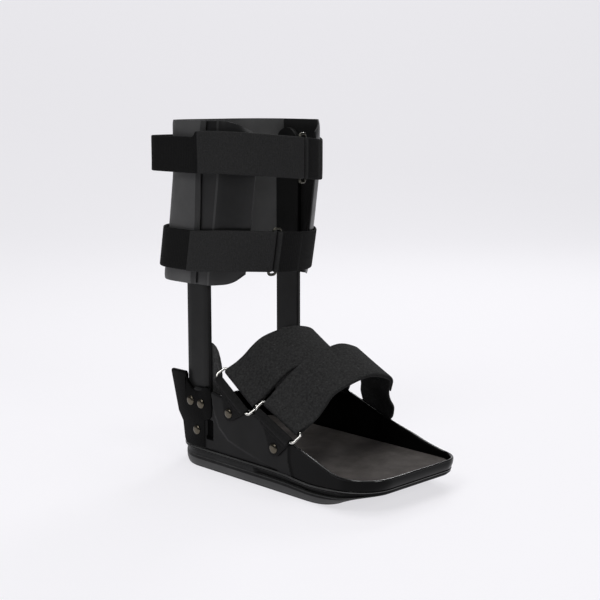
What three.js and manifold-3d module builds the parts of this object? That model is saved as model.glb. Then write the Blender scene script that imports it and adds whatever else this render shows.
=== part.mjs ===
// Medical walking boot with a rigid sole, two uprights, calf shells and straps.
// Millimetres, +Z up, the toe points to -Y and the wearer's right side is at -X.
import * as THREE from "three";
import { mergeVertices } from "three/addons/utils/BufferGeometryUtils.js";
import Module from "manifold-3d";

const wasm = await Module();
wasm.setup();

// Clearances between pieces
const fit = 0.3;
const slipFit = 1;

// Sole and side walls
const toeReach = 259;
const heelReach = 51;
const soleHalfWidth = 76;
const heelCornerRadius = 52;
const nearToeRadius = 40;
const farToeRadius = 26;
const wall = 4;
const outsoleHeight = 19.7;
const floorThickness = 4;
const insoleThickness = 6;
const flangeReach = 2;
const flangeHeight = 3;
const toeRimHeight = 36;
const toeWallInset = 1;
const heelSpring = 4;
const toeSpring = 16;
const toeTuck = 5;
const lipRise = 5.5;
const outsoleTuck = 4;
const grooveDepth = 4;
const grooveHeight = 6;

// Ears that hold the uprights
const earRearReach = 44;
const earWaistReach = 32;
const earFootReach = 21.5;
const earFrontReach = 19;
const earTop = 107;
const earWaist = 59.5;
const notchRadius = 19;
const notchFloor = 88;
const slotMiddle = 20;
const slotRadius = 5;
const slotFoot = 31;
const slotTop = 56;

// Uprights
const uprightWidth = 36;
const uprightCentreOffset = 1.9;
const uprightThickness = 6;
const uprightFoot = 32;
const uprightTop = 376;

// Ankle pads
const padThickness = 9;
const padTop = 142;
const padFoot = 46;
const padHalfWidth = 23;
const padFrontOffset = 4;

// Calf shells and rear panel
const shellThickness = 3;
const panelThickness = 3;
const calfTop = 386;
const calfFoot = 208;
const shellFrontReach = 67;
const shellFrontHalfWidth = 45;
const shellRearReach = 14;
const panelRearReach = 61;
const panelCornerRadius = 45;
const panelFrontReach = 23;
const calfLean = 20;

// Calf straps
const strapWidth = 45;
const strapThickness = 2.6;

// Rings and foot straps
const wire = 3.2;
const ringCorner = 3.4;
const footRingCross = 13.5;
const calfRingCross = 2 * (wire / 2 + fit + strapThickness) + fit;
const footStrapWidth = 55;
const footStrapThickness = 5.2;
const tabThickness = 2.5;
const tabFootRadius = 9;
const ringLeanAngle = 45;
const footRingInset = 0.4;
const rearRingReach = 67;
const rearRingHeight = 98.5;
const rearStrapReach = 98.5;
const rearStrapHeight = 147.5;
const frontRingReach = 131.7;
const frontRingHeight = 76.6;
const frontStrapReach = 155.5;
const frontStrapHeight = 134.5;
const rearStrapShift = 4;
const frontStrapShift = 14;

// Rivets
const rivetHeadRadius = 5.6;
const rivetHeadHeight = 2.4;
const rivetShankRadius = 2;

const outerWallX = soleHalfWidth;
const innerWallX = outerWallX - wall;
const uprightFaceX = innerWallX - fit;
const soleTop = outsoleHeight + fit;
const floorTop = soleTop + floorThickness;

const black = new THREE.MeshStandardMaterial({ color: 0x141414, roughness: 0.3 });
const rubber = new THREE.MeshStandardMaterial({ color: 0x1a1a1a, roughness: 0.8 });
const foam = new THREE.MeshStandardMaterial({ color: 0x3d3a38, roughness: 0.95 });
const bar = new THREE.MeshStandardMaterial({ color: 0x222222, roughness: 0.4, metalness: 0.3 });
const shellPlastic = new THREE.MeshStandardMaterial({ color: 0x1c1c1c, roughness: 0.4 });
const greyPlastic = new THREE.MeshStandardMaterial({ color: 0x4a4d4b, roughness: 0.7 });
const webbing = new THREE.MeshStandardMaterial({ color: 0x242424, roughness: 0.9 });
const pile = new THREE.MeshStandardMaterial({ color: 0x1e1e1e, roughness: 1 });
const steel = new THREE.MeshStandardMaterial({ color: 0xc8c8c8, roughness: 0.25, metalness: 1 });

const parts = new THREE.Group();
const vec = (x, y, z) => new THREE.Vector3(x, y, z);

// Solids: closed indexed meshes, turned to face out, and cut or joined as manifolds

function solidFromMesh(points, triangles) {
  const vertProperties = new Float32Array(points.flatMap((p) => [p.x, p.y, p.z]));
  const make = (tris) => new wasm.Manifold(new wasm.Mesh({
    numProp: 3, vertProperties, triVerts: new Uint32Array(tris.flat()),
  }));
  let volume = 0;
  for (const [a, b, c] of triangles) {
    volume += points[a].dot(points[b].clone().cross(points[c]));
  }
  return make(volume > 0 ? triangles : triangles.map(([a, b, c]) => [a, c, b]));
}

function solidFromGeometry(geometry) {
  const plain = geometry.clone();
  plain.deleteAttribute("normal");
  plain.deleteAttribute("uv");
  const merged = mergeVertices(plain, 1e-4);
  const position = merged.getAttribute("position");
  const points = Array.from({ length: position.count }, (_, i) => vec(
    position.getX(i), position.getY(i), position.getZ(i),
  ));
  const index = Array.from(merged.index.array);
  const triangles = [];
  for (let i = 0; i < index.length; i += 3) {
    triangles.push([index[i], index[i + 1], index[i + 2]]);
  }
  return solidFromMesh(points, triangles);
}

function addPart(name, solid, material) {
  const mesh = solid.getMesh();
  const geometry = new THREE.BufferGeometry();
  const position = new Float32Array(mesh.numVert * 3);
  for (let i = 0; i < mesh.numVert; i += 1) {
    position.set(mesh.vertProperties.subarray(i * mesh.numProp, i * mesh.numProp + 3), i * 3);
  }
  geometry.setAttribute("position", new THREE.BufferAttribute(position, 3));
  geometry.setIndex(Array.from(mesh.triVerts));
  geometry.computeVertexNormals();
  const part = new THREE.Mesh(geometry, material);
  part.name = name;
  parts.add(part);
}

// A closed solid through rings of equally many points, its two end rings capped straight across
function ringLoft(rings) {
  const count = rings[0].length;
  const points = rings.flat();
  const triangles = [];
  for (let r = 0; r + 1 < rings.length; r += 1) {
    for (let i = 0; i < count; i += 1) {
      const j = (i + 1) % count;
      const a = r * count + i;
      const b = r * count + j;
      triangles.push([a, b, b + count], [a, b + count, a + count]);
    }
  }
  for (const [start, flip] of [[0, true], [(rings.length - 1) * count, false]]) {
    for (let i = 0; i < count / 2 - 1; i += 1) {
      const [a, b, c, d] = [i, i + 1, count - 2 - i, count - 1 - i].map((k) => start + k);
      triangles.push(flip ? [b, a, d] : [a, b, d]);
      if (b !== c) {
        triangles.push(flip ? [c, b, d] : [b, c, d]);
      }
    }
  }
  return solidFromMesh(points, triangles);
}

// A sheet of even thickness whose outer face passes through a grid of points
function thickSheet(grid, thickness, outward) {
  const rows = grid.length;
  const columns = grid[0].length;
  const inner = grid.map((row, i) => row.map((point, j) => {
    const alongRow = row[Math.min(j + 1, columns - 1)].clone().sub(row[Math.max(j - 1, 0)]);
    const alongColumn = grid[Math.min(i + 1, rows - 1)][j].clone().sub(grid[Math.max(i - 1, 0)][j]);
    const normal = alongRow.cross(alongColumn).normalize();
    if (normal.dot(outward(point, i, j)) < 0) {
      normal.negate();
    }
    return point.clone().addScaledVector(normal, -thickness);
  }));
  return sheetBetween(grid, inner);
}

// The solid between two grids of equally many points
function sheetBetween(grid, inner) {
  const rows = grid.length;
  const columns = grid[0].length;
  const points = [...grid.flat(), ...inner.flat()];
  const half = rows * columns;
  const at = (i, j) => i * columns + j;
  const triangles = [];
  const quad = (a, b, c, d) => triangles.push([a, b, c], [a, c, d]);
  for (let i = 0; i + 1 < rows; i += 1) {
    for (let j = 0; j + 1 < columns; j += 1) {
      quad(at(i, j), at(i, j + 1), at(i + 1, j + 1), at(i + 1, j));
      quad(half + at(i, j), half + at(i + 1, j), half + at(i + 1, j + 1), half + at(i, j + 1));
    }
  }
  for (let j = 0; j + 1 < columns; j += 1) {
    quad(at(0, j), half + at(0, j), half + at(0, j + 1), at(0, j + 1));
    quad(at(rows - 1, j), at(rows - 1, j + 1), half + at(rows - 1, j + 1), half + at(rows - 1, j));
  }
  for (let i = 0; i + 1 < rows; i += 1) {
    quad(at(i, 0), at(i + 1, 0), half + at(i + 1, 0), half + at(i, 0));
    const last = columns - 1;
    quad(at(i, last), half + at(i, last), half + at(i + 1, last), at(i + 1, last));
  }
  return solidFromMesh(points, triangles);
}

// A plate drawn in the side view as (y, z) points, standing from x0 to x1
function sidePlate(outline, x0, x1) {
  const shape = new THREE.Shape(outline.map(([y, z]) => new THREE.Vector2(y, z)));
  const geometry = new THREE.ExtrudeGeometry(shape, { depth: x1 - x0, bevelEnabled: false });
  const toSide = new THREE.Matrix4().makeBasis(vec(0, 1, 0), vec(0, 0, 1), vec(1, 0, 0));
  geometry.applyMatrix4(toSide);
  geometry.translate(x0, 0, 0);
  return solidFromGeometry(geometry);
}

// A round bar between two points
function roundBar(start, end, radius, sides = 12) {
  const axis = end.clone().sub(start);
  const geometry = new THREE.CylinderGeometry(radius, radius, axis.length(), sides);
  const turn = new THREE.Quaternion().setFromUnitVectors(vec(0, 1, 0), axis.clone().normalize());
  geometry.applyQuaternion(turn);
  const middle = start.clone().add(end).multiplyScalar(0.5);
  geometry.translate(middle.x, middle.y, middle.z);
  return solidFromGeometry(geometry);
}

function mirrored(point) {
  return vec(-point.x, point.y, point.z);
}

// Linear look-up in a table of rows, by its first column
function lookUp(table, key, column) {
  const sign = table[table.length - 1][0] > table[0][0] ? 1 : -1;
  for (let i = 1; i < table.length; i += 1) {
    if (sign * key <= sign * table[i][0]) {
      const span = table[i][0] - table[i - 1][0];
      const share = Math.max(0, (key - table[i - 1][0]) / span);
      return THREE.MathUtils.lerp(table[i - 1][column], table[i][column], share);
    }
  }
  return table[table.length - 1][column];
}

const arc = (cx, cy, rx, ry, from, to, steps) => Array.from({ length: steps + 1 }, (_, i) => {
  const angle = THREE.MathUtils.degToRad(from + (to - from) * (i / steps));
  return [cx + rx * Math.cos(angle), cy + ry * Math.sin(angle)];
});

// Plan outline of the sole, grown or shrunk by an offset, as [x, y] points from the near heel on
function soleOutline(offset) {
  const half = soleHalfWidth + offset;
  const heel = heelCornerRadius + offset;
  const near = nearToeRadius + offset;
  const far = farToeRadius + offset;
  const rear = heelReach + offset;
  const front = -toeReach - offset;
  const sideSteps = 12;
  const side = (x, from, to) => Array.from({ length: sideSteps - 1 }, (_, i) => [
    x, from + (to - from) * ((i + 1) / sideSteps),
  ]);
  const nearStart = rear - heel;
  const nearEnd = front + near;
  const farEnd = front + far;
  return [
    ...arc(-half + heel, nearStart, heel, heel, 90, 180, 9),
    ...side(-half, nearStart, nearEnd),
    ...arc(-half + near, nearEnd, near, near, 180, 270, 8),
    ...arc(half - far, farEnd, far, far, 270, 360, 8),
    ...side(half, farEnd, nearStart),
    ...arc(half - heel, nearStart, heel, heel, 0, 90, 9),
  ];
}

// Height of the wall's top along the foot, as shares of the reach to the toe or heel and of the
// drop from the wall's height at the front of the ears to the toe rim
const wallAtEars = 92;
const heelCupHeight = 62;
const wallLine = [
  // y share, height share
  [-1, 0],
  [-0.83, 0],
  [-0.74, 0.13],
  [-0.62, 0.32],
  [-0.47, 0.58],
  [-0.35, 0.77],
  [-0.27, 0.82],
  [-0.13, 0.96],
  [-0.07, 1],
  [0, 1],
];
function wallTop(y) {
  if (y > 0) {
    return THREE.MathUtils.lerp(wallAtEars, heelCupHeight, THREE.MathUtils.smoothstep(y / heelReach, 0, 0.75));
  }
  return THREE.MathUtils.lerp(toeRimHeight, wallAtEars, lookUp(wallLine, y / toeReach, 1));
}

// How far the wall stands in from the sole's outline: flush beside the foot, inset at toe and heel
const insetLine = [
  // y share, inset share
  [-1, 1],
  [-0.62, 1],
  [-0.56, 0],
  [0, 0],
];
const wallInset = (y) => (y > 0 ? 0 : toeWallInset * lookUp(insetLine, y / toeReach, 1));

function levelRing(outline, height) {
  return outline.map(([x, y]) => vec(x, y, height));
}

const rivetRows = [
  // y share of the upright's width, height
  [0.23, 75],
  [-0.26, 74],
  [-0.06, 43],
];
const tabRivets = [
  // y, height
  [-57, 72.5],
  [-128, 48],
];

// The sole's outline with its front end drawn back under the toe
function tucked(offset, tuck = toeTuck) {
  const outer = soleOutline(0);
  return soleOutline(offset).map(([x, y], i) => (
    [x, y + tuck * THREE.MathUtils.smoothstep(-outer[i][1], 0.75 * toeReach, toeReach)]
  ));
}

function soleShell() {
  const outer = soleOutline(0);
  const walls = (depth, rise) => soleOutline(-depth).map(([x, y], i) => {
    const [, lineY] = outer[i];
    const pull = wallInset(lineY);
    const scale = pull / soleHalfWidth;
    return vec(x * (1 - scale), y - pull * (y / toeReach), rise(lineY));
  });
  const top = (y) => wallTop(y);
  const rings = [
    levelRing(tucked(0), soleTop),
    levelRing(tucked(flangeReach), soleTop + 0.5 * fit),
    levelRing(tucked(flangeReach), soleTop + flangeHeight),
    tucked(0, toeTuck * 0.6).map(([x, y]) => vec(x, y, soleTop + flangeHeight + 1)),
    walls(0, (y) => top(y) - 1.2),
    walls(1.2, top),
    walls(wall - 1.2, top),
    walls(wall, (y) => top(y) - 1.2),
    walls(wall, () => floorTop),
  ];
  let shell = ringLoft(rings);
  for (const side of [-1, 1]) {
    const outline = [
      [-earFrontReach, soleTop + 8],
      [earFootReach - 3, soleTop + 4],
      [earFootReach, soleTop + 9],
      [earWaistReach, earWaist],
      [earRearReach, earTop - 2],
      [earRearReach - 2, earTop],
      [notchRadius, earTop],
      [-notchRadius, earTop],
      [-notchRadius - 3, wallAtEars + 2],
    ];
    const x0 = side < 0 ? -outerWallX : innerWallX;
    shell = shell.add(sidePlate(outline, x0, x0 + wall));
    const notch = [
      ...arc(0, notchFloor + notchRadius, notchRadius, notchRadius, 180, 360, 12),
      [notchRadius, earTop + 10],
      [-notchRadius, earTop + 10],
    ];
    const cutStart = side < 0 ? -outerWallX - 5 : innerWallX - 0.1;
    shell = shell.subtract(sidePlate(notch, cutStart, cutStart + wall + 5.1));
    const slot = [
      [-slotMiddle - slotRadius, slotTop],
      ...arc(-slotMiddle, slotFoot + slotRadius, slotRadius, slotRadius, 180, 360, 8),
      [-slotMiddle + slotRadius, slotTop],
    ];
    const slotStart = side < 0 ? -outerWallX - 1 : outerWallX - wall / 2;
    shell = shell.subtract(sidePlate(slot, slotStart, slotStart + wall / 2 + 1));
    const pocketReach = uprightWidth / 2 + fit;
    const pocket = [[-1, uprightFoot - slipFit], [1, uprightFoot - slipFit], [1, earTop + 1], [-1, earTop + 1]]
      .map(([share, z]) => [uprightCentreOffset + share * pocketReach, z]);
    const pocketStart = side < 0 ? -innerWallX : innerWallX - 2 * uprightThickness;
    shell = shell.subtract(sidePlate(pocket, pocketStart, pocketStart + 2 * uprightThickness));
  }
  return shell;
}

function outsole() {
  const tread = tucked(-outsoleTuck, 2 * toeTuck);
  const lip = tucked(0, 1.5 * toeTuck);
  const groove = tucked(-grooveDepth);
  const treadHeight = (y) => {
    const toward = THREE.MathUtils.smoothstep(-y, toeReach * 0.645, toeReach) ** 1.5;
    const back = THREE.MathUtils.smoothstep(y, heelReach * 0.36, heelReach);
    return toeSpring * toward + heelSpring * back;
  };
  const grooved = (y) => y < -toeReach * 0.37;
  const lipTop = (y) => outsoleHeight - grooveHeight
    + lipRise * THREE.MathUtils.smoothstep(-y, toeReach * 0.83, toeReach * 0.98);
  const plain = soleOutline(0);
  const ring = (outline, height) => outline.map(([x, y], i) => vec(x, y, height(plain[i][1])));
  const mixed = (height) => lip.map(([x, y], i) => {
    const [gx, gy] = grooved(plain[i][1]) ? groove[i] : [x, y];
    return vec(gx, gy, height(plain[i][1]));
  });
  return ringLoft([
    ring(tread, (y) => treadHeight(y)),
    ring(lip, (y) => Math.min(treadHeight(y) + 3, lipTop(y) - 0.9)),
    ring(lip, (y) => lipTop(y) - 0.4),
    mixed(lipTop),
    mixed(() => outsoleHeight),
  ]);
}

function insole() {
  const edge = wall + toeWallInset + slipFit;
  return ringLoft([
    levelRing(soleOutline(-edge), floorTop + fit),
    levelRing(soleOutline(-edge), floorTop + fit + insoleThickness - 1.5),
    levelRing(soleOutline(-edge - 1.5), floorTop + fit + insoleThickness),
  ]);
}

function upright(side) {
  const rows = [];
  const endRadius = uprightWidth / 2;
  const heights = [0, 0.13, 0.5, 1].map((share) => uprightFoot + endRadius * share);
  for (const share of [1, 0.5, 0.13, 0]) {
    heights.push(uprightTop - endRadius * share);
  }
  for (const z of heights) {
    const toEnd = Math.min(z - uprightFoot, uprightTop - z, endRadius);
    const half = Math.sqrt(Math.max(endRadius ** 2 - (endRadius - toEnd) ** 2, 16));
    rows.push([-1, -0.8, 0.8, 1].map((share) => {
      const bevel = Math.abs(share) === 1 ? 1 : 0;
      return vec(side * (uprightFaceX - bevel), uprightCentreOffset + share * half, z);
    }));
  }
  return thickSheet(rows, uprightThickness - 1, () => vec(side, 0, 0));
}

function anklePad(side) {
  const face = uprightFaceX - uprightThickness - fit;
  const middle = (padFoot + padTop) / 2;
  const half = (padTop - padFoot) / 2;
  const sides = 24;
  const ringAt = (depth, shrink) => arc(0, 0, 1, 1, 0, 360 - 360 / sides, sides - 1).map(([c, s]) => vec(
    side * (face - depth),
    -padFrontOffset + Math.sign(c) * (padHalfWidth - shrink) * Math.abs(c) ** 0.7,
    middle + Math.sign(s) * (half - shrink) * Math.abs(s) ** 0.8,
  ));
  return ringLoft([ringAt(0, 1.5), ringAt(2, 0), ringAt(padThickness - 3, 0), ringAt(padThickness, 4)]);
}

// How far the calf pieces lie back, by height
const leanLine = [
  // height share from foot to top of the calf pieces, share of the lean
  [0, 1],
  [0.34, 0.45],
  [0.69, 0],
  [1, 0],
];
const calfHeight = calfTop - calfFoot;
const lean = (z) => calfLean * lookUp(leanLine, (z - calfFoot) / calfHeight, 1);

const shellFaceX = uprightFaceX + fit + shellThickness;
const panelFaceX = shellFaceX + fit + panelThickness;
const shellSection = [
  // x share of the shell's half width, y share of the front reach, height shares of top and foot drop
  [1, -0.5, 0, 0],
  [1, 0, 0, 0],
  [1, 0.56, 0, 0],
  [0.975, 0.66, 0, 0.02],
  [0.92, 0.75, 0.08, 0.06],
  [0.85, 0.85, 0.3, 0.15],
  [0.77, 0.93, 0.62, 0.42],
  [0.67, 1, 1, 1],
];
const shellTopDrop = 13;
const shellFootDrop = 12;

// Plan of the left shell's outer face at a height, from its rear edge to its free front edge
function shellPlan(z) {
  const flank = shellFaceX;
  const [edge] = shellSection[shellSection.length - 1];
  return shellSection.map(([across, along]) => [
    flank * across + (shellFrontHalfWidth - flank * edge) * ((1 - across) / (1 - edge)),
    (along < 0 ? shellRearReach * (along / -0.5) : -shellFrontReach * along) + lean(z),
  ]);
}

function calfShell(side) {
  const heights = [0, 0.12, 0.34, 0.52, 0.69, 0.85, 1];
  const grid = heights.map((share) => shellSection.map(([, , topDrop, footDrop], i) => {
    const foot = calfFoot + shellFootDrop * footDrop;
    const top = calfTop - shellTopDrop * topDrop;
    const z = THREE.MathUtils.lerp(foot, top, share);
    const [x, y] = shellPlan(z)[i];
    return vec(side * x, y, z);
  }));
  return thickSheet(grid, shellThickness, () => vec(side, -0.4, 0));
}

// Plan curve round the back from the near front edge to the far one, at a distance from the uprights
function backCurve(halfWidth, rear, corner, front) {
  const near = [
    [-halfWidth, -front],
    [-halfWidth, (rear - corner - front) / 2],
    ...arc(-halfWidth + corner, rear - corner, corner, corner, 180, 90, 8),
  ];
  return [...near, ...near.slice().reverse().map(([x, y]) => [-x, y])];
}

const panelFrontLine = [
  // height share of the calf pieces, share of the panel's front reach
  [0, 0.04],
  [0.36, 0.43],
  [0.68, 0.54],
  [1, 1],
];
const panelFront = (z) => panelFrontReach * lookUp(panelFrontLine, (z - calfFoot) / calfHeight, 1);

function rearPanel() {
  const heights = [0, 0.12, 0.34, 0.52, 0.69, 0.85, 0.97, 1];
  const grid = heights.map((share) => {
    const z = calfFoot + calfHeight * share;
    const curve = backCurve(panelFaceX, panelRearReach, panelCornerRadius, panelFront(z) + lean(z));
    return curve.map(([x, y]) => (
      vec(x, y + lean(z), z)
    ));
  });
  return thickSheet(grid, panelThickness, (point) => vec(point.x, point.y, 0));
}

// A path in plan moved sideways, outward for a path that runs round the boot anticlockwise
function offsetPath(path, distance) {
  return path.map(([x, y], i) => {
    const [ax, ay] = path[Math.max(i - 1, 0)];
    const [bx, by] = path[Math.min(i + 1, path.length - 1)];
    const length = Math.hypot(bx - ax, by - ay);
    return [x + (distance * (by - ay)) / length, y - (distance * (bx - ax)) / length];
  });
}

const calfStraps = {
  upper: {
    height: 352.5,
    slack: 4,
    rearStandoff: 11,
    corner: 18,
    ringX: 12,
    bow: 11,
    fallHeight: 8,
    frontDrop: 6,
    overlapEnd: -15,
  },
  lower: {
    height: 245.5,
    slack: 1.5,
    rearStandoff: 3,
    corner: panelCornerRadius,
    ringX: -17,
    bow: 11,
    fallHeight: 7,
    frontDrop: 2.5,
    overlapEnd: 8,
  },
};

// Path of a calf strap's outer face in plan at a height, from the ring's far bar round the back
function strapPath(strap, z, layer) {
  const { slack, rearStandoff, corner, ringX } = strap;
  const off = strapThickness + fit + layer;
  const half = panelFaceX + slack + off;
  const rear = panelRearReach + rearStandoff + off;
  const back = lean(z);
  const shell = offsetPath(shellPlan(z).slice(2).reverse(), off + 0.2);
  const [edgeX, edgeY] = shell[0];
  const flank = [[half - 0.4, -panelFront(z) - 3], [half, back - 2]];
  const side = (s) => [...shell, ...flank].map(([x, y]) => [s * x, y]);
  const bow = (x) => [x, edgeY - strap.bow * (1 - (x / edgeX) ** 2)];
  const backArc = backCurve(half, rear, corner, 0).slice(1, -1).map(([x, y]) => [x, y + back]);
  const cross = [-0.75, -0.5, -0.25, 0, 0.25, 0.5, 0.75].map((share) => share * shellFrontHalfWidth);
  const reach = calfRingCross / 2;
  return [
    bow(ringX + reach),
    ...cross.filter((x) => x > ringX + reach + 4).map(bow),
    ...side(1),
    ...backArc.reverse(),
    ...side(-1).reverse(),
    ...cross.filter((x) => x < ringX - reach - 4).reverse().map(bow),
    bow(ringX - reach),
  ];
}

// The two edges of a calf strap; its front runs downhill from the near side to the far side
function strapGrid(strap, layer) {
  const [lower, upper] = [-0.5, 0.5].map((share) => {
    const z = strap.height + share * strapWidth;
    return strapPath(strap, z, layer).map(([x, y]) => {
      const front = THREE.MathUtils.smoothstep(-y, 0, shellFrontReach);
      const tilt = strap.fallHeight * (x / shellFrontHalfWidth) * 0.5;
      return vec(x, y, z - front * (strap.frontDrop + tilt));
    });
  });
  return lower.map((point, i) => [point, upper[i]]);
}

const middleOf = ([lower, upper]) => lower.clone().lerp(upper, 0.5);
const axisOf = ([lower, upper]) => upper.clone().sub(lower).normalize();

function strapEye(row) {
  const middle = middleOf(row);
  middle.y += strapThickness / 2;
  return [middle, axisOf(row)];
}

function calfStrap(strap) {
  const base = strapGrid(strap, 0);
  const inner = strapGrid(strap, -strapThickness);
  const over = strapGrid(strap, strapThickness + fit);
  const start = over.findIndex(([point], i) => (
    i > over.length / 2 && point.x < 0 && point.y < strap.overlapEnd
  ));
  const stepped = (before, after) => [
    ...before.slice(0, start + 1),
    after[start].map((point, j) => point.clone().lerp(after[start + 1][j], 0.04)),
    ...after.slice(start + 1),
  ];
  let solid = sheetBetween(stepped(base, over), stepped(inner, inner));
  const eye = wire / 2 + fit;
  for (const row of [base[0], base[base.length - 1]]) {
    const [middle, axis] = strapEye(row);
    solid = solid.add(barAlong(middle, axis, strapWidth - 1, eye + strapThickness));
    solid = solid.subtract(barAlong(middle, axis, strapWidth * 1.5, eye));
  }
  return solid;
}

// A rounded rectangular loop of round wire
function wireLoop(centre, along, across, length, breadth) {
  const halfLength = length / 2 - ringCorner;
  const halfBreadth = breadth / 2 - ringCorner;
  const normal = along.clone().cross(across).normalize();
  const stations = [];
  for (const [u, v, start] of [[1, 1, 0], [-1, 1, 90], [-1, -1, 180], [1, -1, 270]]) {
    for (const [c, s] of arc(0, 0, 1, 1, start, start + 90, 4)) {
      stations.push([u * halfLength + ringCorner * c, v * halfBreadth + ringCorner * s, c, s]);
    }
  }
  const sides = 8;
  const points = stations.flatMap(([u, v, c, s]) => {
    const middle = centre.clone().addScaledVector(along, u).addScaledVector(across, v);
    const out = along.clone().multiplyScalar(c).addScaledVector(across, s);
    return Array.from({ length: sides }, (_, k) => {
      const angle = (2 * Math.PI * (k + 0.5)) / sides;
      return middle.clone()
        .addScaledVector(out, (wire / 2) * Math.cos(angle))
        .addScaledVector(normal, (wire / 2) * Math.sin(angle));
    });
  });
  const triangles = [];
  for (let i = 0; i < stations.length; i += 1) {
    const next = (i + 1) % stations.length;
    for (let k = 0; k < sides; k += 1) {
      const l = (k + 1) % sides;
      triangles.push(
        [i * sides + k, next * sides + k, next * sides + l],
        [i * sides + k, next * sides + l, i * sides + l],
      );
    }
  }
  return solidFromMesh(points, triangles);
}

function calfRing(strap) {
  const base = strapGrid(strap, 0);
  const [first, axis] = strapEye(base[0]);
  const [last] = strapEye(base[base.length - 1]);
  const across = last.clone().sub(first);
  const breadth = across.length();
  across.addScaledVector(axis, -across.dot(axis)).normalize();
  const length = strapWidth + 2 * ringCorner + 2 * fit;
  return wireLoop(first.lerp(last, 0.5), axis, across, length, breadth);
}

function barAlong(centre, along, length, radius) {
  const reach = along.clone().multiplyScalar(length / 2);
  return roundBar(centre.clone().sub(reach), centre.clone().add(reach), radius);
}

// Foot straps: each runs from a rivet on the far wall over the foot to the near ring
const footStraps = {
  rear: {
    ringReach: rearRingReach,
    ringHeight: rearRingHeight,
    slope: 35,
    apex: vec(-rearStrapShift, -rearStrapReach, rearStrapHeight),
    apexSlope: 31.7,
    rivet: tabRivets[0],
    // up share, across share of the rear edge and of the front edge
    arch: [
      [0.1, 0.92, 0.92],
      [0.35, 0.79, 0.83],
      [0.6, 0.69, 0.74],
      [0.82, 0.54, 0.58],
      [0.95, 0.27, 0.3],
      [1, 0, 0],
    ],
  },
  front: {
    ringReach: frontRingReach,
    ringHeight: frontRingHeight,
    slope: 25,
    apex: vec(frontStrapShift, -frontStrapReach, frontStrapHeight),
    apexSlope: 28.9,
    rivet: tabRivets[1],
    arch: [
      [0.1, 0.96, 0.88],
      [0.25, 0.93, 0.78],
      [0.45, 0.84, 0.73],
      [0.72, 0.66, 0.68],
      [0.88, 0.42, 0.45],
      [1, 0, 0],
    ],
  },
};

const slopeAxis = (degrees) => {
  const angle = THREE.MathUtils.degToRad(degrees);
  return vec(0, -Math.cos(angle), -Math.sin(angle));
};

function ringFrame(strap) {
  const along = slopeAxis(strap.slope);
  const upright = vec(0, along.z, -along.y);
  const angle = THREE.MathUtils.degToRad(ringLeanAngle);
  const across = vec(Math.cos(angle), 0, 0).addScaledVector(upright, Math.sin(angle));
  const centre = vec(footRingInset - outerWallX, -strap.ringReach, strap.ringHeight);
  return {
    along,
    across,
    centre,
    lower: centre.clone().addScaledVector(across, -footRingCross / 2),
    upper: centre.clone().addScaledVector(across, footRingCross / 2),
  };
}

function footRing(strap) {
  const { along, across, centre } = ringFrame(strap);
  return wireLoop(centre, along, across, footStrapWidth + 2 * ringCorner + 2 * fit, footRingCross);
}

function ringTab(strap) {
  const { along, lower } = ringFrame(strap);
  const [rivetY, rivetZ] = strap.rivet;
  const rear = lower.clone().addScaledVector(along, -footStrapWidth / 2);
  const front = lower.clone().addScaledVector(along, footStrapWidth / 2);
  const outline = [
    [rear.y, rear.z],
    ...arc(rivetY, rivetZ, tabFootRadius, tabFootRadius, 10, -120, 8),
    [front.y, front.z - 1],
    [front.y, front.z],
  ];
  const inner = -outerWallX - fit;
  const eye = wire / 2 + fit;
  return sidePlate(outline, inner - tabThickness, inner)
    .add(barAlong(lower, along, footStrapWidth - 1, eye + tabThickness - fit))
    .subtract(barAlong(lower, along, footStrapWidth * 1.5, eye));
}

function footStrap(strap) {
  const { along, upper } = ringFrame(strap);
  const half = footStrapWidth / 2;
  const apexAlong = slopeAxis(strap.apexSlope);
  const station = (side, up, rearAcross, frontAcross) => {
    const middle = upper.clone().lerp(strap.apex, up);
    const axis = along.clone().lerp(apexAlong, up).normalize();
    const edge = (reach, across) => vec(
      side * Math.abs(upper.x) * across + strap.apex.x * up, middle.y + axis.y * reach, middle.z + axis.z * reach,
    );
    const rear = edge(-half, rearAcross);
    const front = edge(half, frontAcross);
    return [rear, rear.clone().lerp(front, 0.5), front];
  };
  const faceX = outerWallX + fit + footStrapThickness;
  const rows = [[0, 1, 1], ...strap.arch];
  const nearHalf = rows.map((row) => station(-1, ...row));
  const farHalf = rows.slice(0, -1).reverse().map((row) => {
    const spread = (faceX + upper.x) * (1 - row[0]) ** 3;
    return station(1, ...row).map((point) => point.add(vec(spread, 0, 0)));
  });
  const [rivetY, rivetZ] = strap.rivet;
  const base = mirrored(upper);
  const flat = (share, width) => {
    const middle = vec(faceX, THREE.MathUtils.lerp(base.y, rivetY, share), THREE.MathUtils.lerp(base.z, rivetZ, share));
    return [-1, 0, 1].map((s) => middle.clone().addScaledVector(along, s * width));
  };
  const foot = [
    flat(0.34, half),
    flat(0.75, half * 0.62),
    flat(1.05, half * 0.36),
    flat(1.22, half * 0.2),
  ];
  const grid = [...nearHalf, ...farHalf, ...foot];
  const centre = vec(0, strap.apex.y, floorTop);
  const solid = thickSheet(grid, footStrapThickness, (point) => point.clone().sub(centre));
  const eye = wire / 2 + fit;
  return solid
    .add(barAlong(upper, along, footStrapWidth - 1, eye + strapThickness))
    .subtract(barAlong(upper, along, footStrapWidth * 1.5, eye));
}

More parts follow.
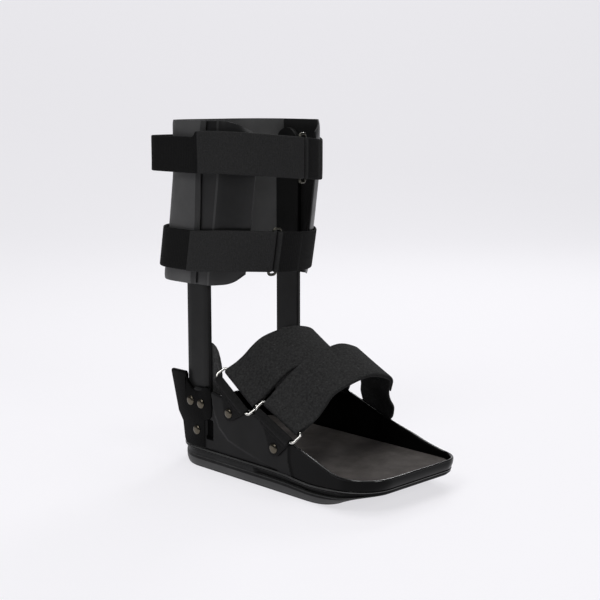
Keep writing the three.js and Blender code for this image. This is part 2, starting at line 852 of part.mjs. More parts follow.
// Rivets: a low dome with a shank
function rivet(side, y, z, faceX, depth) {
  const steps = 5;
  const profile = [[0, -depth], [rivetShankRadius, -depth], [rivetShankRadius, fit], [rivetHeadRadius, fit]];
  for (let i = 1; i <= steps; i += 1) {
    const angle = (Math.PI / 2) * (i / steps);
    profile.push([rivetHeadRadius * Math.cos(angle), fit + 0.5 + rivetHeadHeight * Math.sin(angle)]);
  }
  profile[profile.length - 1][0] = 0;
  const geometry = new THREE.LatheGeometry(profile.map(([r, h]) => new THREE.Vector2(r, h)), 12);
  geometry.rotateZ(side < 0 ? Math.PI / 2 : -Math.PI / 2);
  geometry.translate(side * faceX, y, z);
  return solidFromGeometry(geometry);
}

function shankHole(side, y, z, from, to) {
  return roundBar(vec(side * from, y, z), vec(side * to, y, z), rivetShankRadius + fit);
}

const solids = new Map();
solids.set("sole_shell", [soleShell(), black]);
solids.set("outsole", [outsole(), rubber]);
solids.set("insole", [insole(), foam]);
for (const [name, side] of [["right", -1], ["left", 1]]) {
  solids.set(`upright_${name}`, [upright(side), bar]);
  solids.set(`ankle_pad_${name}`, [anklePad(side), pile]);
  solids.set(`calf_shell_${name}`, [calfShell(side), shellPlastic]);
}
solids.set("rear_panel", [rearPanel(), greyPlastic]);
for (const [name, strap] of Object.entries(calfStraps)) {
  solids.set(`${name}_strap`, [calfStrap(strap), webbing]);
  solids.set(`calf_ring_${name}`, [calfRing(strap), steel]);
}
solids.set("instep_strap", [footStrap(footStraps.rear), pile]);
solids.set("forefoot_strap", [footStrap(footStraps.front), pile]);
for (const [name, strap] of Object.entries(footStraps)) {
  solids.set(`foot_ring_${name}`, [footRing(strap), steel]);
  solids.set(`ring_tab_${name}`, [ringTab(strap), webbing]);
}

const drill = (node, hole) => {
  const [solid, material] = solids.get(node);
  solids.set(node, [solid.subtract(hole), material]);
};

for (const [name, side] of [["right", -1], ["left", 1]]) {
  rivetRows.forEach(([share, z], i) => {
    const y = uprightCentreOffset + share * uprightWidth;
    const depth = wall + uprightThickness / 2;
    const inUpright = Math.abs(share * uprightWidth) < uprightWidth / 2 - rivetShankRadius - 2 * fit;
    const reach = inUpright ? depth : wall - 0.5;
    solids.set(`rivet_${name}_${i + 1}`, [rivet(side, y, z, outerWallX, reach), steel]);
    const hole = shankHole(side, y, z, outerWallX - reach - fit, outerWallX + 1);
    drill("sole_shell", hole);
    if (inUpright) {
      drill(`upright_${name}`, hole);
    }
  });
  ["rear", "front"].forEach((position, i) => {
    const [y, z] = tabRivets[i];
    const thickness = side < 0 ? tabThickness : footStrapThickness;
    const faceX = outerWallX + fit + thickness;
    const reach = thickness + fit + wall - 0.5;
    solids.set(`rivet_${name}_${i + 4}`, [rivet(side, y, z, faceX, reach), steel]);
    const hole = shankHole(side, y, z, faceX - reach - fit, faceX + 1);
    drill("sole_shell", hole);
    drill(side < 0 ? `ring_tab_${position}` : ["instep_strap", "forefoot_strap"][i], hole);
  });
}

for (const [name, [solid, material]] of solids) {
  addPart(name, solid, material);
}

// The origin is on the floor, under the middle of the boot
const box = new THREE.Box3().setFromObject(parts);
parts.position.set(-(box.min.x + box.max.x) / 2, -(box.min.y + box.max.y) / 2, -box.min.z);

const boot = new THREE.Group();
boot.add(parts);
export default boot;
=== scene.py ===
import math

import bmesh
import bpy
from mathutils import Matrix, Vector


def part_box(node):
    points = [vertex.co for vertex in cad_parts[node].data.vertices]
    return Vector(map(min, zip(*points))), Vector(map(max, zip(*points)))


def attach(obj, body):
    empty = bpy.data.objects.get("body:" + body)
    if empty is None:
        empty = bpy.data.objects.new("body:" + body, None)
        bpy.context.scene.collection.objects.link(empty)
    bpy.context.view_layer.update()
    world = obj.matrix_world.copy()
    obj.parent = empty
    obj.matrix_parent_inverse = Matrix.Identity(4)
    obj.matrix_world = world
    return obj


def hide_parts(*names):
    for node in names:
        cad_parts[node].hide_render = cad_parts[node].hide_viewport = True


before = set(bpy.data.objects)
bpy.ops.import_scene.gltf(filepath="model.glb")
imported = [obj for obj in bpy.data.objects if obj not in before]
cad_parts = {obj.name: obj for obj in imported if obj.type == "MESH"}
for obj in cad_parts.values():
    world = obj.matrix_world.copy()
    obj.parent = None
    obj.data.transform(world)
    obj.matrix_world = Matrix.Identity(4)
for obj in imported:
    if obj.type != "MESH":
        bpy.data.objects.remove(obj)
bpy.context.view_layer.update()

MM = 0.001
right_low, right_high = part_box("upright_right")
left_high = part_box("upright_left")[1]
UPRIGHT_OFFSET = 1.9
SIDES = ((-1, "right"), (1, "left"))
SHIFT = Vector((
    (right_low.x + left_high.x) / 2,
    (right_low.y + right_high.y) / 2 - UPRIGHT_OFFSET * MM,
    0,
))

# Camera, found from the photograph's perspective
CAMERA_AT = (-941.0, -1045.0, 413.0)
CAMERA_AZIMUTH = -44.5
CAMERA_DOWN = 9.365
CAMERA_LENS = 74.58

# Clearances: between pieces that touch, and round the insole
FIT = 0.3
SLIP_FIT = 1.0

# Sole
TOE_REACH = 259.0
HEEL_REACH = 51.0
SOLE_HALF = 76.0
HEEL_CORNER = 52.0
NEAR_TOE_CORNER = 40.0
FAR_TOE_CORNER = 26.0
WALL = 4.0
OUTSOLE_HEIGHT = 19.7
FLOOR_THICKNESS = 4.0
INSOLE_THICKNESS = 6.0
FLANGE_REACH = 2.0
FLANGE_HEIGHT = 3.0
TOE_INSET = 1.0
HEEL_SPRING = 4.0
TOE_SPRING = 16.0
TOE_TUCK = 5.0
OUTSOLE_TUCK = 4.0
GROOVE_DEPTH = 4.0
LINE_BLUR = 5.0
WALL_BLUR = 7.0
WALL_AT_EARS = 92.0
HEEL_CUP = 62.0
SOLE_TOP = OUTSOLE_HEIGHT + FIT
FLOOR_TOP = SOLE_TOP + FLOOR_THICKNESS

# Ears, uprights and pads
EAR_TOP = 107.0
NOTCH_FLOOR = 88.0
NOTCH_RADIUS = 19.0
UPRIGHT_WIDTH = 36.0
UPRIGHT_THICKNESS = 6.0
UPRIGHT_FOOT = 32.0
UPRIGHT_TOP = 376.0
PAD_TOP = 142.0
PAD_FOOT = 46.0
PAD_HALF = 23.0
PAD_FORWARD = 4.0

# Calf pieces
SHELL_THICKNESS = 3.0
PANEL_THICKNESS = 3.0
CALF_TOP = 386.0
CALF_FOOT = 208.0
SHELL_FRONT = 67.0
SHELL_FRONT_HALF = 45.0
SHELL_REAR = 14.0
PANEL_REAR = 61.0
PANEL_CORNER = 45.0
PANEL_FRONT = 23.0
CALF_LEAN = 20.0
CALF_HEIGHT = CALF_TOP - CALF_FOOT

# Straps, rings and rivets
STRAP_WIDTH = 45.0
STRAP_THICKNESS = 2.6
WIRE = 3.2
RING_CORNER = 3.4
FOOT_RING_CROSS = 13.5
CALF_RING_CROSS = 2 * (WIRE / 2 + FIT + STRAP_THICKNESS) + FIT
FOOT_STRAP_WIDTH = 55.0
FOOT_STRAP_THICKNESS = 5.2
TAB_THICKNESS = 2.5
TAB_FOOT = 9.0
RING_LEAN = 45.0
RIVET_HEAD = 5.6
RIVET_RISE = 2.4

OUTER_X = SOLE_HALF
UPRIGHT_FACE = OUTER_X - WALL - FIT
SHELL_FACE = UPRIGHT_FACE + FIT + SHELL_THICKNESS
PANEL_FACE = SHELL_FACE + FIT + PANEL_THICKNESS


def place(point):
    return Vector(point) * MM + SHIFT


def lerp(a, b, share):
    return a + (b - a) * share


def smoothstep(value, low, high):
    share = min(max((value - low) / (high - low), 0.0), 1.0)
    return share * share * (3 - 2 * share)


def look_up(table, key, column):
    """Linear look-up in a table of rows sorted by their first column."""
    for before, after in zip(table, table[1:]):
        if key <= after[0]:
            share = max(0.0, (key - before[0]) / (after[0] - before[0]))
            return lerp(before[column], after[column], share)
    return table[-1][column]


def arc(cx, cy, radius, start, end, steps):
    points = []
    for i in range(steps + 1):
        angle = math.radians(lerp(start, end, i / steps))
        points.append((cx + radius * math.cos(angle), cy + radius * math.sin(angle)))
    return points


def resample(points, count):
    """Evenly spaced points along a polyline of tuples."""
    lengths = [0.0]
    for a, b in zip(points, points[1:]):
        lengths.append(lengths[-1] + math.dist(a, b))
    result = []
    k = 0
    for i in range(count):
        target = lengths[-1] * i / (count - 1)
        while k < len(lengths) - 2 and lengths[k + 1] < target:
            k += 1
        span = lengths[k + 1] - lengths[k]
        share = (target - lengths[k]) / span if span else 0.0
        result.append(tuple(lerp(a, b, share) for a, b in zip(points[k], points[k + 1])))
    return result


def smoothed(points, passes):
    """Rounds a polyline's corners and keeps its ends."""
    for _ in range(passes):
        middle = [
            tuple((a + 2 * b + c) / 4 for a, b, c in zip(*three))
            for three in zip(points, points[1:], points[2:])
        ]
        points = [points[0], *middle, points[-1]]
    return points


def catmull(keys, steps):
    """A smooth curve through tuples of numbers."""
    curve = []
    for i in range(len(keys) - 1):
        p0 = keys[max(i - 1, 0)]
        p1, p2 = keys[i], keys[i + 1]
        p3 = keys[min(i + 2, len(keys) - 1)]
        for k in range(steps):
            t = k / steps
            curve.append(tuple(
                0.5 * (2 * b + (c - a) * t + (2 * a - 5 * b + 4 * c - d) * t * t
                       + (3 * b - a - 3 * c + d) * t ** 3)
                for a, b, c, d in zip(p0, p1, p2, p3)
            ))
    curve.append(tuple(keys[-1]))
    return curve


def plan_normals(points, closed=False):
    """Unit normals in plan, to the right of the way that the points run."""
    normals = []
    count = len(points)
    for i in range(count):
        ax, ay = points[i - 1 if closed else max(i - 1, 0)]
        bx, by = points[(i + 1) % count if closed else min(i + 1, count - 1)]
        length = math.hypot(bx - ax, by - ay) or 1.0
        normals.append(((by - ay) / length, (ax - bx) / length))
    return normals


# Pieces

def linked(name, data):
    thing = bpy.data.objects.new(name, data)
    bpy.context.scene.collection.objects.link(thing)
    return thing


def shade(work, mesh, sharp):
    """Fills the mesh, smooth but for the edges sharper than so many degrees."""
    limit = math.radians(sharp)
    for edge in work.edges:
        edge.smooth = len(edge.link_faces) != 2 or edge.calc_face_angle() < limit
    for face in work.faces:
        face.smooth = True
    work.to_mesh(mesh)
    work.free()


def add_piece(mesh):
    piece = linked(mesh.name, mesh)
    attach(piece, "root")
    return piece


def new_piece(node, points, faces, materials, sharp, uv=None, face_slots=None):
    """The visible piece that stands for a node of the frame."""
    mesh = bpy.data.meshes.new(f"boot_{node}")
    mesh.from_pydata([place(p) for p in points], [], faces)
    for material in materials:
        mesh.materials.append(material)
    if face_slots:
        for polygon, index in zip(mesh.polygons, face_slots):
            polygon.material_index = index
    if uv:
        layer = mesh.uv_layers.new(name="UVMap")
        for loop in mesh.loops:
            layer.data[loop.index].uv = uv[loop.vertex_index]
    work = bmesh.new()
    work.from_mesh(mesh)
    bmesh.ops.recalc_face_normals(work, faces=work.faces)
    shade(work, mesh, sharp)
    piece = add_piece(mesh)
    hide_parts(node)
    return piece


def tube_faces(rings, count):
    """The faces between rings of so many points each."""
    faces = []
    for r in range(rings - 1):
        for i in range(count):
            a, b = r * count + i, r * count + (i + 1) % count
            faces.append((a, b, b + count, a + count))
    return faces


def ring_loft(rings):
    """A closed solid through rings of equally many points, capped straight across."""
    count = len(rings[0])
    points = [p for ring in rings for p in ring]
    faces = tube_faces(len(rings), count)
    for start in (0, (len(rings) - 1) * count):
        for i in range(count // 2 - 1):
            a, b, c, d = (start + k for k in (i, i + 1, count - 2 - i, count - 1 - i))
            faces.append((a, b, c, d) if b != c else (a, b, d))
    return points, faces


def grid_faces(rows, columns, start=0):
    faces = []
    for i in range(rows - 1):
        for j in range(columns - 1):
            a = start + i * columns + j
            faces.append((a, a + 1, a + columns + 1, a + columns))
    return faces


def grid_normals(grid):
    rows, columns = len(grid), len(grid[0])
    normals = []
    for i in range(rows):
        row = []
        for j in range(columns):
            along = Vector(grid[min(i + 1, rows - 1)][j]) - Vector(grid[max(i - 1, 0)][j])
            across = Vector(grid[i][min(j + 1, columns - 1)]) - Vector(grid[i][max(j - 1, 0)])
            row.append(along.cross(across).normalized())
        normals.append(row)
    return normals


def moved_grid(grid, reach):
    """The grid moved along its own normals by a function of row and column."""
    normals = grid_normals(grid)
    return [
        [Vector(p) + normals[i][j] * reach(i, j) for j, p in enumerate(row)]
        for i, row in enumerate(grid)
    ]


def border_share(i, j, rows, columns, band):
    """1 on a grid's border, falling to 0 inside a band of so many rows and columns."""
    return 1 - smoothstep(min(i, rows - i, j, columns - 1 - j), 0, band)


def between(outer, inner):
    """The closed solid between two grids of equally many points."""
    rows, columns = len(outer), len(outer[0])
    points = [p for row in outer for p in row] + [p for row in inner for p in row]
    half = rows * columns
    faces = grid_faces(rows, columns) + grid_faces(rows, columns, half)
    sides = [0] * (half - rows - columns + 1) + [1] * (half - rows - columns + 1)
    edge = list(range(columns))
    edge += [i * columns + columns - 1 for i in range(1, rows)]
    edge += [(rows - 1) * columns + j for j in range(columns - 2, -1, -1)]
    edge += [i * columns for i in range(rows - 2, 0, -1)]
    for a, b in zip(edge, edge[1:] + edge[:1]):
        faces.append((a, b, half + b, half + a))
        sides.append(0)
    return points, faces, sides


# Shares across a sheet, with the share of its thickness there, which rounds its edges
SHEET_EDGE = [
    # share, thickness share
    (0.0, 0.25),
    (0.008, 0.7),
    (0.022, 0.95),
    (0.05, 1.0),
    (0.14, 1.0),
    (0.26, 1.0),
    (0.38, 1.0),
    (0.5, 1.0),
]
SHEET_COLUMNS = SHEET_EDGE + [(1 - share, thick) for share, thick in SHEET_EDGE[-2::-1]]
SHEET_SHARES = [share for share, _ in SHEET_COLUMNS]
SHEET_END_ROWS = 2
SHEET_END_THICKNESS = 0.45


def ribbon(rows, thickness):
    """A strip of even thickness with rounded edges about rows of points on its middle."""
    count = len(rows)

    def half(i, j):
        end = min(min(i, count - 1 - i) / SHEET_END_ROWS, 1.0)
        end_share = SHEET_END_THICKNESS + (1 - SHEET_END_THICKNESS) * end
        return thickness / 2 * SHEET_COLUMNS[j][1] * end_share

    outer = moved_grid(rows, half)
    inner = moved_grid(rows, lambda i, j: -half(i, j))
    points, faces, sides = between(outer, inner)
    middle = len(rows[0]) // 2
    lengths = [0.0]
    for a, b in zip(rows, rows[1:]):
        lengths.append(lengths[-1] + (Vector(a[middle]) - Vector(b[middle])).length * MM)
    width = (Vector(rows[0][0]) - Vector(rows[0][-1])).length * MM
    uv = [(length, share * width) for length in lengths for share in SHEET_SHARES]
    return points, faces, sides, uv + uv


# Materials

def shader(name, color, roughness, metallic=0.0, **inputs):
    material = bpy.data.materials.new(name)
    material.use_nodes = True
    bsdf = material.node_tree.nodes["Principled BSDF"]
    bsdf.inputs["Base Color"].default_value = (*color, 1)
    bsdf.inputs["Roughness"].default_value = roughness
    bsdf.inputs["Metallic"].default_value = metallic
    for key, value in inputs.items():
        bsdf.inputs[key.replace("_", " ").title().replace("Ior", "IOR")].default_value = value
    return material


def add_node(material, kind, **values):
    node = material.node_tree.nodes.new(kind)
    for key, value in values.items():
        if key in node.inputs:
            node.inputs[key].default_value = value
        else:
            setattr(node, key, value)
    return node


def texture(material, kind, source, **values):
    """A texture on the piece's own or its UV coordinates."""
    tree = material.node_tree
    node = add_node(material, kind, **values)
    coordinates = tree.nodes.new("ShaderNodeTexCoord")
    tree.links.new(coordinates.outputs[source], node.inputs["Vector"])
    return node.outputs["Fac"]


def noise(material, scale, detail=3.0, rough=0.5):
    return texture(material, "ShaderNodeTexNoise", "Object", Scale=scale, Detail=detail, Roughness=rough)


def bands(material, scale, direction, distortion):
    return texture(material, "ShaderNodeTexWave", "UV", Scale=scale, Distortion=distortion,
                   bands_direction=direction, Detail=1.0)


def ramp(material, source, stops, target):
    """Colours a texture through a ramp; each stop is a place and a colour or a grey."""
    tree = material.node_tree
    node = tree.nodes.new("ShaderNodeValToRGB")
    elements = node.color_ramp.elements
    while len(elements) < len(stops):
        elements.new(0.5)
    for element, (position, value) in zip(elements, stops):
        element.position = position
        element.color = (*value, 1) if hasattr(value, "__len__") else (value, value, value, 1)
    tree.links.new(source, node.inputs["Fac"])
    bsdf = tree.nodes["Principled BSDF"]
    tree.links.new(node.outputs["Color"], bsdf.inputs[target])


def bump(material, layers):
    """Chained bumps; each layer is a texture, a strength and a height in metres."""
    tree = material.node_tree
    last = None
    for texture, strength, height in layers:
        node = add_node(material, "ShaderNodeBump", Strength=strength, Distance=height)
        tree.links.new(texture, node.inputs["Height"])
        if last:
            tree.links.new(last.outputs["Normal"], node.inputs["Normal"])
        last = node
    tree.links.new(last.outputs["Normal"], tree.nodes["Principled BSDF"].inputs["Normal"])


def grey_range(low, high):
    return [(0.35, low), (0.65, high)]


def gloss_plastic(name, low, high, rough_low, rough_high, shine=0.5):
    material = shader(name, (low, low, low), rough_low, specular_ior_level=shine)
    ramp(material, noise(material, 22, 4), grey_range(low, high), "Base Color")
    ramp(material, noise(material, 60, 5, 0.6), [(0.3, rough_low), (0.7, rough_high)], "Roughness")
    bump(material, [
        (noise(material, 900, 2), 0.12, 0.0001),
        (noise(material, 35, 2), 0.25, 0.0004),
    ])
    return material


def webbing(name, low, high, rib):
    """Woven tape: ribs along its length, fine picks across, and a little soil."""
    material = shader(name, (low, low, low), 0.85, specular_ior_level=0.1)
    ramp(material, noise(material, 700, 4, 0.7), grey_range(low, high), "Base Color")
    bump(material, [
        (bands(material, rib, "X", 0.6), 0.5, 0.0003),
        (bands(material, rib * 1.7, "Y", 0.4), 0.4, 0.0002),
        (noise(material, 1400, 3, 0.7), 0.6, 0.0003),
    ])
    return material


def loop_pile(name, low, high, speck):
    """Fuzzy loop fabric with pale specks where loops catch the light."""
    material = shader(name, (low, low, low), 1.0, specular_ior_level=0.1)
    specks = noise(material, 420, 6, 0.75)
    ramp(material, specks, [
        (0.3, low), (0.55, high), (0.66, high * 1.3), (0.74, speck),
    ], "Base Color")
    bump(material, [
        (noise(material, 520, 5, 0.7), 1.0, 0.0009),
        (noise(material, 90, 3), 0.5, 0.0012),
    ])
    return material


def metal(name, color, roughness):
    material = shader(name, color, roughness, 1.0)
    ramp(material, noise(material, 400, 4), [(0.3, roughness * 0.7), (0.75, roughness * 1.6)], "Roughness")
    bump(material, [(noise(material, 700, 3), 0.1, 0.0001)])
    return material


SOLE = gloss_plastic("sole_gloss", 0.002, 0.0035, 0.12, 0.2, 0.08)
SIDE = gloss_plastic("side_satin", 0.007, 0.011, 0.3, 0.4, 0.1)
RIM = gloss_plastic("rim_gloss", 0.006, 0.010, 0.08, 0.14, 0.6)
# Painted shade: a near-black, barely shiny colour in the slot stands in for the shade inside it.
SLOT_PAINTED_SHADE = gloss_plastic("slot_shade", 0.001, 0.002, 0.5, 0.6, 0.02)
# Painted highlight: a pale colour on the flange's edge stands in for the light that edge catches.
FLANGE_PAINTED_HIGHLIGHT = gloss_plastic("flange_painted_highlight", 0.055, 0.08, 0.3, 0.4, 0.3)
EAR = gloss_plastic("ear_gloss", 0.002, 0.003, 0.2, 0.34, 0.04)
RUBBER = gloss_plastic("outsole_satin", 0.006, 0.010, 0.4, 0.55, 0.12)
# Painted highlight: lighter bands on the outsole's rounded lip stand in for the light they catch.
OUTSOLE_LIP_PAINTED_HIGHLIGHT = gloss_plastic("outsole_lip_painted_highlight", 0.045, 0.065, 0.4, 0.55, 0.2)
SHELL = gloss_plastic("shell_satin", 0.008, 0.011, 0.32, 0.42, 0.4)
PANEL = gloss_plastic("panel_matte", 0.064, 0.082, 0.55, 0.7)
PANEL_EDGE = gloss_plastic("panel_edge", 0.034, 0.044, 0.55, 0.7, 0.3)
# Painted highlight: a lighter colour along the shell's crease stands in for the light it catches.
SHELL_RIB_PAINTED_HIGHLIGHT = gloss_plastic("shell_rib_painted_highlight", 0.024, 0.034, 0.35, 0.45)
BAR = gloss_plastic("upright_satin", 0.010, 0.014, 0.35, 0.45, 0.15)
STRAP_FACE = webbing("strap_face", 0.023, 0.035, 130)
STRAP_BACK = webbing("strap_back", 0.007, 0.011, 110)
TAB = webbing("tab_weave", 0.010, 0.017, 130)
PILE = loop_pile("foot_pile", 0.015, 0.036, 0.14)
PAD = loop_pile("pad_pile", 0.02, 0.07, 0.2)
STEEL = metal("ring_steel", (0.62, 0.61, 0.58), 0.16)
DARK_STEEL = metal("dark_steel", (0.075, 0.072, 0.06), 0.3)
NICKEL = metal("rivet_nickel", (0.1, 0.088, 0.068), 0.22)

FOAM = shader("insole_foam", (0.075, 0.067, 0.062), 0.95, specular_ior_level=0.3)
ramp(FOAM, noise(FOAM, 60, 5, 0.65), [
    (0.3, (0.052, 0.046, 0.043)), (0.7, (0.09, 0.081, 0.076)),
], "Base Color")
bump(FOAM, [(noise(FOAM, 900, 3, 0.7), 0.7, 0.0005), (noise(FOAM, 45, 3), 0.4, 0.0015)])


# Sole outline, from the middle of the heel along the near side and back along the far side

def sole_outline(offset=0.0):
    half = SOLE_HALF + offset
    heel = HEEL_CORNER + offset
    near = NEAR_TOE_CORNER + offset
    far = FAR_TOE_CORNER + offset
    rear, front = HEEL_REACH + offset, -TOE_REACH - offset
    side_start = rear - heel
    back = half - heel

    def line(a, b, steps):
        return [tuple(lerp(p, q, i / steps) for p, q in zip(a, b)) for i in range(1, steps)]

    points = [(0.0, rear)]
    points += line((0.0, rear), (-back, rear), 8)
    points += arc(-half + heel, side_start, heel, 90, 180, 30)
    points += line((-half, side_start), (-half, front + near), 150)
    points += arc(-half + near, front + near, near, 180, 270, 24)
    points += line((-half + near, front), (half - far, front), 16)
    points += arc(half - far, front + far, far, 270, 360, 24)
    points += line((half, front + far), (half, side_start), 150)
    points += arc(half - heel, side_start, heel, 0, 90, 30)
    points += line((back, rear), (0.0, rear), 8)
    return points


WALL_LINE = [
    # y, height of the near wall, height of the far wall
    (-259.0, 36.0, 36.0),
    (-235.0, 36.0, 36.0),
    (-220.0, 36.0, 39.4),
    (-213.0, 36.4, 41.0),
    (-204.5, 39.2, 43.0),
    (-194.5, 42.4, 46.6),
    (-184.0, 46.0, 49.4),
    (-160.6, 53.9, 55.5),
    (-121.7, 68.5, 68.5),
    (-90.6, 79.1, 79.1),
    (-69.9, 81.9, 81.9),
    (-33.7, 89.8, 89.8),
    (-18.0, 92.0, 92.0),
    (0.0, 92.0, 92.0),
]
SOLE_LINES = [
    # y, shift of the flange's height, height of the outsole's lip
    (-259.0, 0.0, 19.0),
    (-250.0, 0.0, 19.0),
    (-244.0, 0.0, 17.8),
    (-226.0, -0.5, 15.2),
    (-217.0, -1.2, 14.0),
    (-203.0, -2.4, 12.6),
    (-187.0, -3.4, 11.6),
    (-174.0, -3.6, 11.4),
    (-155.0, -2.0, 12.6),
    (-143.0, -0.5, 13.4),
    (-120.0, 0.0, 13.7),
    (60.0, 0.0, 13.7),
]
CREASE = [
    # y, height of the moulded crease on the wall
    (-150.0, 21.0),
    (-120.0, 25.4),
    (-101.0, 29.0),
    (-72.0, 35.5),
    (-52.0, 41.0),
    (-37.0, 52.5),
    (-29.0, 68.0),
    (-26.0, 80.0),
    (-24.0, 100.0),
]
CREASE_STEP = 0.9
CREASE_SOFT = 0.9
CREASE_FRONT = (150.0, 158.0)
CREASE_REAR = (-14.6, -13.4)
SLOT = (-27.0, -15.0, 34.0, 56.0)
SLOT_DEPTH = 2.2
SLOT_CORE = 2.5
SLOT_ROUND = (2.6, 3.8)
SIDE_END = -146.0
SIDE_END_LEAN = 0.35
SIDE_END_HEIGHT = 38.0
SIDE_END_SOFT = 3.0
TUCK_START = 0.75
HEEL_CUP_END = 0.75


def blurred(table, key, column, blur):
    return sum(look_up(table, key + blur * k, column) for k in (-1, -0.5, 0, 0.5, 1)) / 5


def wall_top(y, x=-1.0):
    if y > 0:
        return lerp(WALL_AT_EARS, HEEL_CUP, smoothstep(y / HEEL_REACH, 0, HEEL_CUP_END))
    return blurred(WALL_LINE, y, 2 if x > 0 else 1, WALL_BLUR)


def flange_shift(y):
    return blurred(SOLE_LINES, y, 1, LINE_BLUR)


def tuck_share(y):
    return smoothstep(-y, TUCK_START * TOE_REACH, TOE_REACH)


def toe_front(z):
    """Where the side panel ends and the smooth toe wall begins."""
    return SIDE_END - SIDE_END_LEAN * max(SIDE_END_HEIGHT - z, 0)


def toe_inset(y, z):
    return TOE_INSET * smoothstep(toe_front(z) - y, 0, SIDE_END_SOFT)


def wall_relief(y, z):
    """How far the wall's outer face stands in from the sole's outline."""
    raised = smoothstep(z - look_up(CREASE, y, 1), -CREASE_SOFT, CREASE_SOFT)
    raised = max(raised, smoothstep(-y, *CREASE_FRONT), smoothstep(y, *CREASE_REAR))
    y0, y1, z0, z1 = SLOT
    corner = math.hypot(max(abs(y - (y0 + y1) / 2) - SLOT_CORE, 0), max(z0 + 6 - z, 0, z - z1 + 1))
    slot = 1 - smoothstep(corner, *SLOT_ROUND)
    return toe_inset(y, z) + CREASE_STEP * (1 - raised) + SLOT_DEPTH * slot


FLANGE_PROFILE = [
    # reach, height, share of the toe's tuck
    (-2.0, 0.0, 1.0),
    (FLANGE_REACH * 0.6, 0.0, 1.0),
    (FLANGE_REACH, 0.7, 1.0),
    (FLANGE_REACH, FLANGE_HEIGHT - 0.9, 1.0),
    (FLANGE_REACH * 0.65, FLANGE_HEIGHT - 0.1, 0.9),
    (0.0, FLANGE_HEIGHT + 0.2, 0.75),
]
RIM_PROFILE = [
    # depth from the outer face, drop below the wall's top
    (0.35, 0.7),
    (1.1, 0.12),
    (2.0, 0.0),
    (2.9, 0.12),
    (3.6, 0.7),
]
FLANGE_FADE = (205, 235)
FLANGE_FADE_SHARE = 0.85
WALL_LEVELS = 42
INNER_LEVELS = 8


def sole_shell():
    base = sole_outline()
    facing = plan_normals(base, closed=True)

    def ring(depth, height, tuck=0.0):
        points = []
        for (x, y), (nx, ny) in zip(base, facing):
            z = height(y, x)
            inset = depth(y, z)
            points.append((x - nx * inset, y - ny * inset + tuck * tuck_share(y), z))
        return points

    rings = []
    for reach, rise, tuck in FLANGE_PROFILE:
        rings.append(ring(
            lambda y, z, r=reach: -r * (1 - FLANGE_FADE_SHARE * smoothstep(-y, *FLANGE_FADE)),
            lambda y, x, r=rise: SOLE_TOP + r + flange_shift(y),
            TOE_TUCK * tuck,
        ))
    for k in range(WALL_LEVELS + 1):
        share = k / WALL_LEVELS

        def level(y, x, s=share):
            foot = SOLE_TOP + FLANGE_HEIGHT + 1 + flange_shift(y)
            return lerp(foot, wall_top(y, x) - 1.6, s)

        rings.append(ring(wall_relief, level, TOE_TUCK * 0.65 * (1 - share) ** 2))
    for depth, drop in RIM_PROFILE:
        rings.append(ring(
            lambda y, z, d=depth: max(wall_relief(y, z) * (1 - d / WALL), 0) + d,
            lambda y, x, d=drop: wall_top(y, x) - d,
        ))
    for k in range(INNER_LEVELS + 1):
        rings.append(ring(
            lambda y, z: WALL + toe_inset(y, z),
            lambda y, x, s=k / INNER_LEVELS: lerp(wall_top(y, x) - 1.8, FLOOR_TOP, s),
        ))
    points, faces = ring_loft(rings)
    flange_rings = len(FLANGE_PROFILE)
    wall_end = flange_rings + WALL_LEVELS
    flange_edge = (3, 4)
    slots = []
    y0, y1, z0, z1 = SLOT
    for face in faces:
        number = min(face) // len(base)
        y, z = (sum(points[k][axis] for k in face) / len(face) for axis in (1, 2))
        # Faces in the slot take the painted shade.
        in_slot = flange_rings <= number < WALL_LEVELS and y0 < y < y1 and z0 + 0.5 < z < z1 + 1
        # The flange's edge faces take the painted highlight.
        on_flange = number in flange_edge and z < SOLE_TOP + 6
        on_rim = wall_end <= number < wall_end + len(RIM_PROFILE) and z > FLOOR_TOP + 2
        on_side = flange_rings <= number < wall_end and y > toe_front(z)
        slots.append(1 if in_slot else 2 if on_flange else 3 if on_rim else 4 if on_side else 0)
    new_piece("sole_shell", points, faces, [SOLE, SLOT_PAINTED_SHADE, FLANGE_PAINTED_HIGHLIGHT, RIM, SIDE],
              50, face_slots=slots)


EAR_BEFORE_NOTCH = [
    # y, z
    (-14, 25.5), (-12.5, 24), (16.5, 24), (18.4, 24.8), (21.3, 29.3), (24.4, 49.2), (31.9, 59.5),
    (44.1, EAR_TOP - 3.4), (43.8, EAR_TOP - 1.2), (42.2, EAR_TOP - 0.2),
    (NOTCH_RADIUS + 1.2, EAR_TOP), (NOTCH_RADIUS, EAR_TOP - 1.2),
]
EAR_AFTER_NOTCH = [
    (-19.2, 94.0), (-21.5, 94.6), (-24, 92.6), (-25.2, 88), (-25.6, 72), (-24.6, 62),
    (-21.5, 58.4), (-16, 57.4), (-14, 55.6),
]
EAR_BEVEL = 0.9
EAR_FACE = OUTER_X + 0.3


